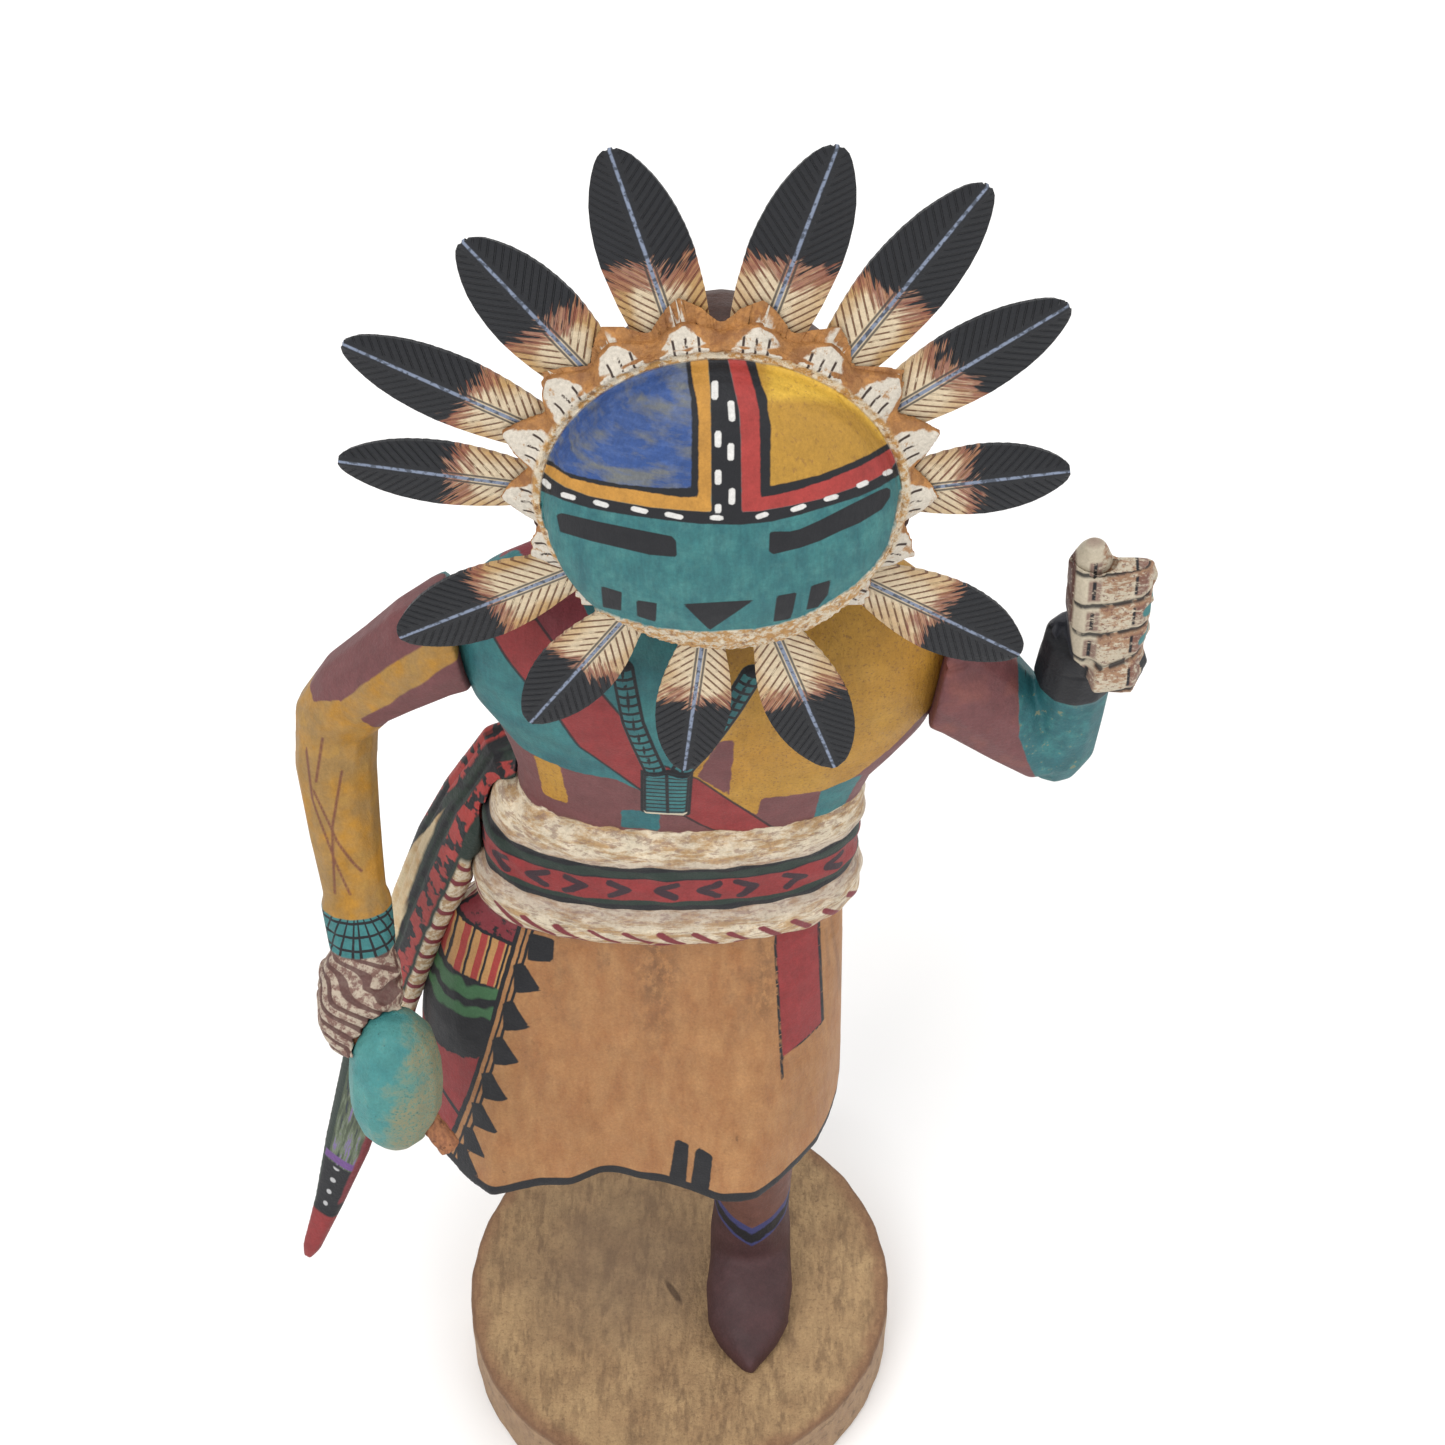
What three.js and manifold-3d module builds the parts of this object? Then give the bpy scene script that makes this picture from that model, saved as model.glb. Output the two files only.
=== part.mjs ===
// A carved and painted kachina doll on a round slab, in millimetres: +Z up, the figure faces -Y.
import * as THREE from "three";
import { mergeVertices } from "three/addons/utils/BufferGeometryUtils.js";
import Module from "manifold-3d";

const wasm = await Module();
wasm.setup();

// Driving sizes
const dollHeight = 373;
const baseThickness = 20;
const baseRadius = 48.5;
const baseBevel = 1.6;
const jointGap = 0.3;
const handleRadius = 2.4;
const featherThickness = 1.8;
const ruffPetals = 17;

// The carving is drawn at this height, on a slab of this thickness, and scaled to the height above.
const drawnHeight = 373;
const drawnBase = 20;
const k = (dollHeight - baseThickness) / (drawnHeight - drawnBase);

function P(x, y, z) {
  return new THREE.Vector3(k * x, k * y, baseThickness + k * (z - drawnBase));
}

function toSolid(geometry) {
  const plain = geometry.clone();
  plain.deleteAttribute("normal");
  plain.deleteAttribute("uv");
  const merged = mergeVertices(plain, 1e-4);
  const mesh = new wasm.Mesh({
    numProp: 3,
    vertProperties: new Float32Array(merged.attributes.position.array),
    triVerts: new Uint32Array(merged.index.array),
  });
  return new wasm.Manifold(mesh);
}

function toGeometry(solid) {
  const mesh = solid.getMesh();
  const geometry = new THREE.BufferGeometry();
  geometry.setAttribute("position", new THREE.BufferAttribute(new Float32Array(mesh.vertProperties), 3));
  geometry.setIndex(new THREE.BufferAttribute(new Uint32Array(mesh.triVerts), 1));
  geometry.computeVertexNormals();
  return geometry;
}

function unite(solids) {
  return solids.reduce((sum, next) => sum.add(next));
}

// Skins closed rings of equal count, with a flat cap at each end.
function skin(rings) {
  const count = rings[0].length;
  const points = [];
  rings.forEach((ring) => points.push(...ring));
  const index = [];
  for (let i = 0; i + 1 < rings.length; i += 1) {
    for (let j = 0; j < count; j += 1) {
      const a = i * count + j;
      const b = i * count + ((j + 1) % count);
      index.push(a, b, b + count, a, b + count, a + count);
    }
  }
  [0, rings.length - 1].forEach((i) => {
    const middle = new THREE.Vector3();
    rings[i].forEach((point) => middle.addScaledVector(point, 1 / count));
    points.push(middle);
    for (let j = 0; j < count; j += 1) {
      const a = i * count + j;
      const b = i * count + ((j + 1) % count);
      const face = i === 0 ? [points.length - 1, b, a] : [points.length - 1, a, b];
      index.push(...face);
    }
  });
  const geometry = new THREE.BufferGeometry().setFromPoints(points);
  geometry.setIndex(index);
  return toSolid(geometry);
}

// One ring of a superellipse about a centre, spanned by two directions.
function oval(centre, across, along, rAcross, rAlong, power, sides) {
  const ring = [];
  for (let i = 0; i < sides; i += 1) {
    const angle = (2 * Math.PI * i) / sides;
    const c = Math.cos(angle);
    const s = Math.sin(angle);
    const u = Math.sign(c) * Math.abs(c) ** (2 / power) * rAcross;
    const v = Math.sign(s) * Math.abs(s) ** (2 / power) * rAlong;
    ring.push(centre.clone().addScaledVector(across, u).addScaledVector(along, v));
  }
  return ring;
}

// A stack of level rings, each [x, y, z, half width, half depth, power].
function stack(levels, sides, grow = 0) {
  const across = new THREE.Vector3(1, 0, 0);
  const along = new THREE.Vector3(0, 1, 0);
  const rings = levels.map(([x, y, z, rx, ry, power]) => {
    return oval(P(x, y, z), across, along, k * rx + grow, k * ry + grow, power, sides);
  });
  return skin(rings);
}

// A limb along its stations, each [x, y, z, radius across, radius along the hint].
function limb(stations, hint, sides, power = 2, grow = 0) {
  const centres = stations.map(([x, y, z]) => P(x, y, z));
  const rings = stations.map((station, i) => {
    const before = centres[Math.max(i - 1, 0)];
    const after = centres[Math.min(i + 1, centres.length - 1)];
    const run = after.clone().sub(before).normalize();
    const along = hint.clone().addScaledVector(run, -hint.dot(run)).normalize();
    const across = along.clone().cross(run);
    return oval(centres[i], across, along, k * station[3] + grow, k * station[4] + grow, power, sides);
  });
  return skin(rings);
}

function egg(x, y, z, rx, ry, rz, wide, tall) {
  const geometry = new THREE.SphereGeometry(1, wide, tall);
  geometry.scale(k * rx, k * ry, k * rz);
  const place = P(x, y, z);
  geometry.translate(place.x, place.y, place.z);
  return toSolid(geometry);
}

// A block that reaches far past the figure, on one side of a flat cut.
function beyond(point, normal) {
  const reach = 3 * dollHeight;
  const geometry = new THREE.BoxGeometry(reach, reach, reach);
  geometry.translate(0, 0, reach / 2);
  geometry.applyQuaternion(new THREE.Quaternion().setFromUnitVectors(new THREE.Vector3(0, 0, 1), normal));
  geometry.translate(point.x, point.y, point.z);
  return toSolid(geometry);
}

function rod(from, to, radius, sides) {
  const run = to.clone().sub(from);
  const geometry = new THREE.CylinderGeometry(radius, radius, run.length(), sides);
  const turn = new THREE.Quaternion().setFromUnitVectors(new THREE.Vector3(0, 1, 0), run.clone().normalize());
  geometry.applyQuaternion(turn);
  const middle = from.clone().addScaledVector(run, 0.5);
  geometry.translate(middle.x, middle.y, middle.z);
  return toSolid(geometry);
}

// Base: a slice of a trunk, not quite round, with a worn rim.
function logRadius(angle) {
  return baseRadius * (1 + 0.008 * Math.sin(2 * angle + 0.6) + 0.006 * Math.sin(3 * angle + 2));
}

function makeBase() {
  const sides = 42;
  const levels = [
    [0, baseBevel / 2],
    [baseBevel / 2, 0],
    [baseThickness - baseBevel, 0],
    [baseThickness, baseBevel],
  ];
  const rings = levels.map(([z, inset]) => {
    const ring = [];
    for (let i = 0; i < sides; i += 1) {
      const angle = (2 * Math.PI * i) / sides;
      const r = logRadius(angle) - inset;
      ring.push(new THREE.Vector3(r * Math.cos(angle), r * Math.sin(angle), z));
    }
    return ring;
  });
  return skin(rings);
}

// Torso: broad at the chest, and cut flat where each arm and the head are set on.
const neckTop = P(9, 3, 277);
const rightSeat = P(-36.2, 4, 246);
const leftSeat = P(49.4, 4, 245);
const rightOut = new THREE.Vector3(-1, -0.1, -0.15).normalize();
const leftOut = new THREE.Vector3(1, -0.1, -0.1).normalize();

function makeTorso(grow) {
  const levels = [
    [3.8, 8.5, 194, 32.8, 13.5, 2.3],
    [4.2, 8.6, 205, 32.6, 13.6, 2.3],
    [5.3, 8.6, 213, 33.9, 14.2, 2.3],
    [6.9, 8.6, 220, 36.7, 15, 2.3],
    [8.2, 8.4, 228, 39.8, 15.8, 2.3],
    [7.6, 8.2, 237, 43.2, 16.6, 2.4],
    [6.8, 7.8, 247, 45, 16.4, 2.5],
    [6.6, 7.4, 256, 43.8, 15.2, 2.6],
    [5.6, 7, 263, 39.6, 13.4, 2.5],
    [4.6, 6.4, 268, 33, 12, 2.3],
    [6, 5.4, 271.5, 23, 11, 2],
    [8.6, 3.6, 275, 12.8, 10.5, 2],
    [9, 3, 282, 12, 10.5, 2],
  ];
  return stack(levels, 26, grow)
    .subtract(beyond(rightSeat, rightOut))
    .subtract(beyond(leftSeat, leftOut))
    .subtract(beyond(neckTop, new THREE.Vector3(0, 0, 1)));
}

// Waist: a round white roll over and under a flat belt.
function makeWaist(grow) {
  const levels = [
    [-1.2, 8.5, 167, 33.5, 11.6, 2.3],
    [-1, 8.5, 169.6, 36.2, 13.6, 2.3],
    [-0.8, 8.5, 172, 37.8, 16, 2.3],
    [-0.6, 8.5, 176, 38.4, 17.5, 2.3],
    [-0.6, 8.5, 180, 38.2, 17.4, 2.3],
    [-0.4, 8.5, 182.6, 37.2, 16.5, 2.3],
    [0, 8.5, 183.2, 36.5, 16.2, 2.3],
    [0.5, 8.3, 196.4, 36.5, 15.4, 2.3],
    [1.4, 8.3, 197.2, 36.2, 16.4, 2.3],
    [1.9, 8.3, 201, 35.8, 16.2, 2.3],
    [2.6, 8.4, 204, 34.6, 14.8, 2.3],
    [3.6, 8.5, 205.5, 32.4, 13.4, 2.3],
  ];
  return stack(levels, 24, grow);
}

// Kilt: flares into two front lobes with a dip between; [degrees, radius] around the hem.
const kiltMiddle = [-7, 10];
const kiltWaist = { x: -1, y: 8.5, wide: 35.2, deep: 14 };
const kiltTop = 169;
const kiltHem = 97;
const hemPoints = [
  [7, 42.6], [40, 41.4], [65, 35], [90, 31.5], [115, 33], [140, 40], [160, 46], [180, 48.6], [200, 48],
  [212, 46.1], [225, 44.6], [236, 34.9], [256, 26.2], [282, 28.5], [297, 36.9], [307, 40.4],
  [324, 40.7], [335, 41.7],
];

function hemReach(angle) {
  const turn = 360;
  const degrees = THREE.MathUtils.radToDeg(angle);
  const count = hemPoints.length;
  const from = hemPoints[0][0];
  const place = from + ((((degrees - from) % turn) + turn) % turn);
  let i = 0;
  while (i + 1 < count && hemPoints[i + 1][0] <= place) {
    i += 1;
  }
  const here = hemPoints[i];
  const next = i + 1 < count ? hemPoints[i + 1] : [from + turn, hemPoints[0][1]];
  const share = (place - here[0]) / (next[0] - here[0]);
  return here[1] + (next[1] - here[1]) * (0.5 - 0.5 * Math.cos(Math.PI * share));
}

function makeKilt(grow) {
  const sides = 40;
  const levels = [
    [kiltHem, 1, 1.2],
    [kiltHem + 1.2, 1, 0],
    [110, 0.88, 0],
    [125, 0.68, 0],
    [141, 0.44, 0],
    [156, 0.2, 0],
    [kiltTop, 0, 0],
  ];
  const rings = levels.map(([z, flare, inset]) => {
    const ring = [];
    for (let i = 0; i < sides; i += 1) {
      const angle = (2 * Math.PI * i) / sides;
      const c = Math.cos(angle);
      const s = Math.sin(angle);
      const reach = hemReach(angle);
      const edge = grow / k - inset;
      const waistX = kiltWaist.x + (kiltWaist.wide + edge) * c;
      const waistY = kiltWaist.y + (kiltWaist.deep + edge) * s;
      const x = waistX + (kiltMiddle[0] + (reach + edge) * c - waistX) * flare;
      const y = waistY + (kiltMiddle[1] + (reach + edge) * s - waistY) * flare;
      ring.push(P(x, y, z));
    }
    return ring;
  });
  return skin(rings);
}

// Left leg and moccasin: the leg that stands on the slab.
function makeLeftLeg() {
  const forward = new THREE.Vector3(0, -1, 0);
  const leg = limb(
    [
      [13, 8, 124, 11, 11],
      [16, 2, 104, 10.2, 10.5],
      [17, 2, 86, 9.4, 9.8],
      [17, 4, 68, 9, 9.4],
      [16.8, 5.5, 52, 8.6, 9],
      [16.6, 6.5, 38, 8.8, 9.4],
      [16.6, 7, 22, 9, 9.8],
    ],
    forward,
    12,
  );
  const foot = limb(
    [
      [17.2, 17.5, 26, 5, 5],
      [17.1, 14.5, 27, 7.6, 9],
      [16.8, 7, 28, 8.6, 11],
      [16.4, -3, 26, 8.9, 9.5],
      [16, -13, 23, 9.2, 6.6],
      [15.6, -20, 21.5, 7.6, 5],
      [15.3, -23.6, 21, 4.6, 3.2],
    ],
    new THREE.Vector3(0, 0, 1),
    12,
    2.3,
  );
  const floor = new THREE.Vector3(0, 0, baseThickness + jointGap);
  return leg.add(foot).subtract(beyond(floor, new THREE.Vector3(0, 0, -1)));
}

// Right leg: lifted in a dance step, with the foot hanging clear of the slab under the kilt.
function makeRightLeg() {
  const leg = limb(
    [
      [-30, 4, 112, 10.5, 10.5],
      [-31, 6, 99, 10, 10],
      [-31.5, 14, 86, 9.2, 9.2],
      [-31.5, 23, 70, 8.2, 8.4],
      [-31.5, 30, 58, 7.6, 8],
      [-31.5, 33, 50, 6, 6],
    ],
    new THREE.Vector3(0, -1, 0),
    12,
  );
  const foot = limb(
    [
      [-31.5, 41, 57, 4.4, 4.4],
      [-31.5, 38, 54, 7, 7.2],
      [-31.7, 33.5, 48, 8, 8.4],
      [-31.9, 29, 41, 8.4, 6.8],
      [-32, 25.5, 35, 6.8, 4.8],
      [-32, 23.5, 31.5, 4, 3],
    ],
    new THREE.Vector3(0, -1, 0.6),
    12,
    2.3,
  );
  return leg.add(foot);
}

function makeBody() {
  return unite([makeTorso(0), makeWaist(0), makeKilt(0), makeLeftLeg(), makeRightLeg()]);
}

// Rattle: a stick held in the right fist runs through a hanging gourd.
const stickTop = P(-61.6, -21.7, 167.2);
const stickEnd = P(-43.5, -33.6, 139.7);

function makeHandle() {
  return rod(stickTop, stickEnd, handleRadius, 14);
}

function stickBore() {
  const run = stickEnd.clone().sub(stickTop).normalize();
  const from = stickTop.clone().addScaledVector(run, -jointGap);
  return rod(from, stickEnd.clone().addScaledVector(run, 20), handleRadius + jointGap, 14);
}

function gourdBody(grow) {
  return limb(
    [
      [-52.8, -22.6, 170.4, 2.4, 2.4],
      [-52.9, -23, 169, 5, 5],
      [-53, -24.1, 165.6, 7.6, 7.6],
      [-53.2, -25.7, 160.2, 9, 9],
      [-53.4, -27.1, 154.7, 9.3, 9.3],
      [-53.7, -28.9, 148.7, 9, 9],
      [-54, -30.5, 143.4, 7, 7],
      [-54.1, -31.5, 140, 4, 4],
      [-54.2, -31.7, 139, 1.8, 1.8],
    ],
    new THREE.Vector3(0, -1, 0),
    12,
    2,
    grow,
  );
}

function makeGourd() {
  return gourdBody(0).subtract(stickBore());
}

// Arms
function makeRightArm() {
  const hint = new THREE.Vector3(0, -1, 0);
  const arm = limb(
    [
      [-26, 8, 252, 12, 11.5],
      [-36, 8, 250.6, 11.6, 11],
      [-42, 8, 246, 10.4, 10],
      [-49, 9.2, 238.5, 9.2, 9],
      [-56.4, 11.4, 229.5, 8.4, 8.2],
      [-61.6, 12.6, 220, 8, 8.2],
      [-62.6, 9, 209, 7.8, 8],
      [-61.5, 2, 197, 7, 7.2],
      [-60, -5, 186.5, 6, 6.2],
    ],
    hint,
    12,
  );
  const bracelet = limb(
    [
      [-60.3, -3.8, 188.4, 6.3, 6.5],
      [-60.2, -4.4, 187.4, 7, 7.1],
      [-59.2, -9.8, 178.4, 6.6, 6.8],
      [-59.1, -10.4, 177.2, 6, 6],
      [-59.1, -13, 172, 5.6, 5.6],
    ],
    hint,
    12,
  );
  const palm = limb(
    [
      [-59, -10.8, 178, 5.8, 5.4],
      [-59.3, -12.8, 174.4, 7.6, 6.6],
      [-59.8, -16.6, 169, 8.6, 7.4],
      [-60.8, -20.4, 163, 7.6, 6.8],
      [-61.6, -22.6, 159.6, 5, 4.4],
    ],
    hint,
    12,
    2.6,
  );
  const fingers = [0, 1, 2, 3].map((i) => {
    const x = 1.4 + 0.5 * i;
    const y = -15.6 - 2.6 * i;
    const z = 174.6 - 3.6 * i;
    return limb(
      [
        [-68.2 + x, y + 5.4, z - 4.4, 1.6, 2.2],
        [-66.8 + x, y + 1.4, z - 3, 2.2, 3],
        [-62.6 + x, y - 2.4, z - 0.6, 2.3, 3.2],
        [-57.6 + x, y - 2.2, z + 1.4, 2.2, 3],
        [-54 + x, y + 1, z + 1.6, 1.4, 2],
      ],
      hint,
      6,
    );
  });
  const gourdSeat = gourdBody(jointGap);
  return unite([arm, bracelet, palm, ...fingers])
    .subtract(beyond(rightSeat.clone().addScaledVector(rightOut, jointGap), rightOut.clone().negate()))
    .subtract(gourdSeat)
    .subtract(stickBore());
}

function makeLeftArm() {
  const hint = new THREE.Vector3(0, -1, 0);
  const upperArm = limb(
    [
      [38, 5, 249.5, 13, 11.5],
      [49, 4, 245.8, 12.2, 11],
      [56, 4, 237.8, 10.2, 10],
      [63, 4.8, 228.8, 8.8, 9],
      [69.6, 5.6, 221.4, 8, 8.2],
      [72, 6, 218, 5.6, 5.6],
    ],
    hint,
    12,
  );
  const forearm = limb(
    [
      [71.8, 7, 212.8, 3.6, 3.6],
      [71.8, 6.6, 215.6, 5.8, 6.4],
      [72, 5.6, 222, 7.4, 7.6],
      [72.7, 4.4, 232, 7.1, 7.2],
      [73.4, 3.4, 242, 6.7, 6.4],
      [74.4, 3, 252, 6, 5.8],
    ],
    hint,
    12,
  );
  const band = limb(
    [
      [72.9, 3.4, 242.4, 6.6, 6.5],
      [73, 3.3, 243.2, 7.3, 7.1],
      [74, 2.9, 254.2, 7.2, 6.9],
      [74.2, 2.8, 255.2, 6.2, 6],
    ],
    hint,
    12,
  );
  const palm = limb(
    [
      [75.6, 2, 252, 5.4, 5.2],
      [77.2, 1, 255, 6.4, 6.2],
      [77.2, 2.2, 262, 7.4, 6.6],
      [77, 4.4, 270, 7.4, 6],
      [76.8, 5.2, 273, 5.4, 4.4],
    ],
    hint,
    12,
    4,
  );
  const fingers = [0, 1, 2, 3].map((i) => {
    const y = 2.4 * i;
    const z = 254 + 4.7 * i;
    const left = 76 - 1.8 * i + 0.24 * i * i;
    const right = 82.3 + 0.1 * i;
    return limb(
      [
        [left - 1.6, y - 0.6, z + 0.8, 2, 2.2],
        [left, y - 3.6, z + 0.9, 2.6, 2.9],
        [76, y - 5.6, z + 0.4, 2.7, 3.1],
        [right - 1.4, y - 5, z, 2.7, 3.1],
        [right + 0.4, y - 1.6, z - 0.2, 2.4, 2.7],
        [right, y + 2, z - 0.2, 2, 2],
      ],
      new THREE.Vector3(0, 0.45, 1).normalize(),
      6,
      2.6,
    );
  });
  const thumb = limb(
    [
      [75.4, 4, 267, 3, 3],
      [74, 3.2, 272.4, 3.8, 3.6],
      [73.5, 2.4, 277, 3.5, 3.3],
      [73.6, 1.8, 280.6, 1.8, 1.6],
    ],
    hint,
    10,
  );
  return unite([upperArm, forearm, band, palm, ...fingers, thumb])
    .subtract(beyond(leftSeat.clone().addScaledVector(leftOut, jointGap), leftOut.clone().negate()));
}

// Side sash: a flat tail that leaves the hip and swings out and down.
// Each station is [x, y, z, width direction, half width, half thickness].
function makeSash() {
  const level = new THREE.Vector3(-0.3, 0.85, 0.4);
  const turning = new THREE.Vector3(-0.55, 0.8, 0.2);
  const hanging = new THREE.Vector3(-0.8, 0.55, 0.1);
  const stations = [
    [-24.6, 14, 209.5, level, 5.6, 3],
    [-31, 14, 205.2, level, 6.8, 3.4],
    [-38.6, 13.5, 189.6, level, 7.6, 3.6],
    [-44.2, 13, 175.2, turning, 7.8, 3.6],
    [-50.8, 12, 155.7, turning, 7.4, 3.4],
    [-58.1, 10, 131.1, turning, 7, 3.2],
    [-64.8, 8, 104.9, hanging, 6.4, 3],
    [-71.9, 4, 77.4, hanging, 5.2, 2.8],
    [-77.5, 0, 58.5, hanging, 3.2, 2.3],
    [-82.2, -4, 45.6, hanging, 2, 1.8],
    [-83.4, -5, 42.6, hanging, 1, 1],
  ];
  const centres = stations.map(([x, y, z]) => P(x, y, z));
  const rings = stations.map((station, i) => {
    const before = centres[Math.max(i - 1, 0)];
    const after = centres[Math.min(i + 1, centres.length - 1)];
    const run = after.clone().sub(before).normalize();
    const wide = station[3].clone().addScaledVector(run, -station[3].dot(run)).normalize();
    const out = wide.clone().cross(run);
    return oval(centres[i], out, wide, k * station[5], k * station[4], 3.4, 12);
  });
  return [makeTorso(jointGap), makeWaist(jointGap), makeKilt(jointGap)]
    .reduce((sash, body) => sash.subtract(body), skin(rings));
}

// Head: a flat ring of petals tilts back less than the fan of feathers behind it.
const headX = 10;
const headZ = 312;
const ruffY = -14;
const ruffTilt = 8.5;
const fanY = -11.2;
const fanZ = 304.5;
const fanTilt = 10;
const faceRadius = 28.6;
const faceDrop = 2.4;
const faceBulge = 13.5;
const ruffNotch = 30.8;
const ruffTip = 35.8;
const ruffSlope = 2.2;
const coreRadius = 22;
const discRadius = 31.5;
const discLift = 3;
const discThickness = 2.6;
const discSides = 30;

function tiltedFrame(y, z, degrees) {
  const tilt = THREE.MathUtils.degToRad(degrees);
  const right = new THREE.Vector3(1, 0, 0);
  const up = new THREE.Vector3(0, Math.sin(tilt), Math.cos(tilt));
  const out = new THREE.Vector3(0, -Math.cos(tilt), Math.sin(tilt));
  return new THREE.Matrix4().makeBasis(right, up, out).setPosition(P(headX, y, z));
}

const ruffFrame = tiltedFrame(ruffY, headZ, ruffTilt);
const fanFrame = tiltedFrame(fanY, fanZ, fanTilt);
const slotHalf = featherThickness / 2 + jointGap;

function placedRings(frame, rings) {
  return skin(rings.map((ring) => ring.map((point) => point.clone().applyMatrix4(frame))));
}

function round(radius, out, sides, up = 0) {
  const middle = new THREE.Vector3(0, up, out);
  return oval(middle, new THREE.Vector3(1, 0, 0), new THREE.Vector3(0, 1, 0), radius, radius, 2, sides);
}

// Pointed petals with straight sides, a little uneven in reach.
function ruffRing(out, reach) {
  const steps = 4;
  const ring = [];
  for (let i = 0; i < ruffPetals * steps; i += 1) {
    const angle = (2 * Math.PI * i) / (ruffPetals * steps);
    const swing = 1 - Math.abs((i % steps) - steps / 2) / (steps / 2);
    const tip = ruffTip + 0.6 * Math.sin(5 * angle + 1);
    const petal = ruffNotch + (tip - ruffNotch) * swing ** 0.85;
    const radius = k * (faceRadius + (petal - faceRadius) * reach);
    ring.push(new THREE.Vector3(-radius * Math.sin(angle), radius * Math.cos(angle), out));
  }
  return ring;
}

function makeHead() {
  const ruff = placedRings(ruffFrame, [ruffRing(-k * 20, 1), ruffRing(-k * ruffSlope, 1), ruffRing(0, 0.1)]);
  const fanFront = new THREE.Vector3(0, 0, slotHalf).applyMatrix4(fanFrame);
  const fanOut = new THREE.Vector3().setFromMatrixColumn(fanFrame, 2);
  const wedge = ruff.subtract(beyond(fanFront, fanOut.clone().negate()));
  const dome = placedRings(
    ruffFrame,
    [0, 0.16, 0.4, 0.62, 0.8, 0.92, 0.985].map((share, i) => {
      const radius = k * faceRadius * (1 - share ** 2.3) ** 0.5;
      const out = i === 0 ? -k : k * faceBulge * share;
      return round(radius, out, 28, -k * (faceDrop + 3 * share * share));
    }),
  );
  const core = placedRings(fanFrame, [
    round(k * coreRadius, -slotHalf - k, discSides),
    round(k * coreRadius, slotHalf + 0.4, discSides),
  ]);
  const disc = placedRings(fanFrame, [
    round(k * discRadius - 0.8, -slotHalf - k * discThickness, discSides, k * discLift),
    round(k * discRadius, -slotHalf - k * discThickness + 0.8, discSides, k * discLift),
    round(k * discRadius, -slotHalf, discSides, k * discLift),
  ]);
  const helmet = egg(headX, 2, 311, 27, 25, 28.5, 20, 12)
    .subtract(beyond(new THREE.Vector3(0, 0, -slotHalf - k).applyMatrix4(fanFrame), fanOut));
  const nape = stack(
    [
      [9, 3, 272, 11.4, 10],
      [9, 3, 277, 11.8, 10.4],
      [9.3, 3.4, 283, 13, 11.6],
      [9.6, 4.2, 292, 15, 14],
    ].map((level) => [...level, 2]),
    14,
  ).subtract(beyond(neckTop.clone().setZ(neckTop.z + jointGap), new THREE.Vector3(0, 0, -1)));
  const napeBehind = nape.subtract(beyond(new THREE.Vector3(0, 0, -slotHalf).applyMatrix4(fanFrame), fanOut));
  return unite([wedge, dome, core, disc, helmet, napeBehind]);
}

// Feathers: [degrees from upright towards +X, tip distance from the middle of the fan, widest width].
const feathers = [
  [-13.6, 70.5, 15],
  [14, 71.2, 15],
  [32.6, 73.9, 14],
  [52.8, 67.1, 13.6],
  [81.5, 56.6, 14],
  [121.5, 58.9, 15.4],
  [160.9, 60.1, 15],
  [186.4, 57.9, 13],
  [215.3, 56.7, 13.8],
  [243.4, 60.3, 15],
  [279.6, 62.2, 12.6],
  [299.6, 67.6, 13],
  [323.2, 65.3, 15],
];
const featherRoot = coreRadius + 0.5;

function makeFeather([degrees, tip, width]) {
  const angle = THREE.MathUtils.degToRad(degrees);
  const run = new THREE.Vector3(Math.sin(angle), Math.cos(angle), 0);
  const side = new THREE.Vector3(Math.cos(angle), -Math.sin(angle), 0);
  const out = new THREE.Vector3(0, 0, 1);
  const edge = 0.45;
  const shares = [0, 0.24, 0.42, 0.58, 0.74, 0.87, 0.96, 1];
  const widths = [0.36, 0.66, 0.92, 1, 0.9, 0.64, 0.34, 0.14];
  const rings = shares.map((share, i) => {
    const middle = run.clone().multiplyScalar(k * (featherRoot + (tip - featherRoot) * share));
    const half = (k * width * widths[i]) / 2;
    const thick = featherThickness / 2;
    const section = [
      [-half, -edge],
      [-half * 0.5, -thick],
      [half * 0.5, -thick],
      [half, -edge],
      [half, edge],
      [0, thick],
      [-half, edge],
    ];
    return section.map(([u, w]) => middle.clone().addScaledVector(side, u).addScaledVector(out, w));
  });
  return placedRings(fanFrame, rings.reverse());
}

const doll = new THREE.Group();
doll.name = "kachina_doll";

function addPart(name, solid, colour, roughness) {
  const material = new THREE.MeshStandardMaterial({ color: colour, roughness, metalness: 0 });
  const mesh = new THREE.Mesh(toGeometry(solid), material);
  mesh.name = name;
  doll.add(mesh);
}

addPart("base", makeBase(), 0xb98a56, 0.75);
addPart("body", makeBody(), 0x9c6a3c, 0.6);
addPart("right_arm", makeRightArm(), 0xa5672c, 0.6);
addPart("left_arm", makeLeftArm(), 0x3f8f8c, 0.6);
addPart("side_sash", makeSash(), 0x8a5a38, 0.6);
addPart("head", makeHead(), 0x4c9a9a, 0.6);
feathers.forEach((feather, i) => {
  const name = `feather_${String(i + 1).padStart(2, "0")}`;
  addPart(name, makeFeather(feather), 0x5a4636, 0.65);
});
addPart("rattle_gourd", makeGourd(), 0x5aa3a0, 0.6);
addPart("rattle_handle", makeHandle(), 0x7d4a2c, 0.7);

export default doll;
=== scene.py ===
"""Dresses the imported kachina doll: each node gets a carved and painted piece in its place.

Lengths in this file are millimetres until a mesh or a light is placed.
"""
import math

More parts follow.
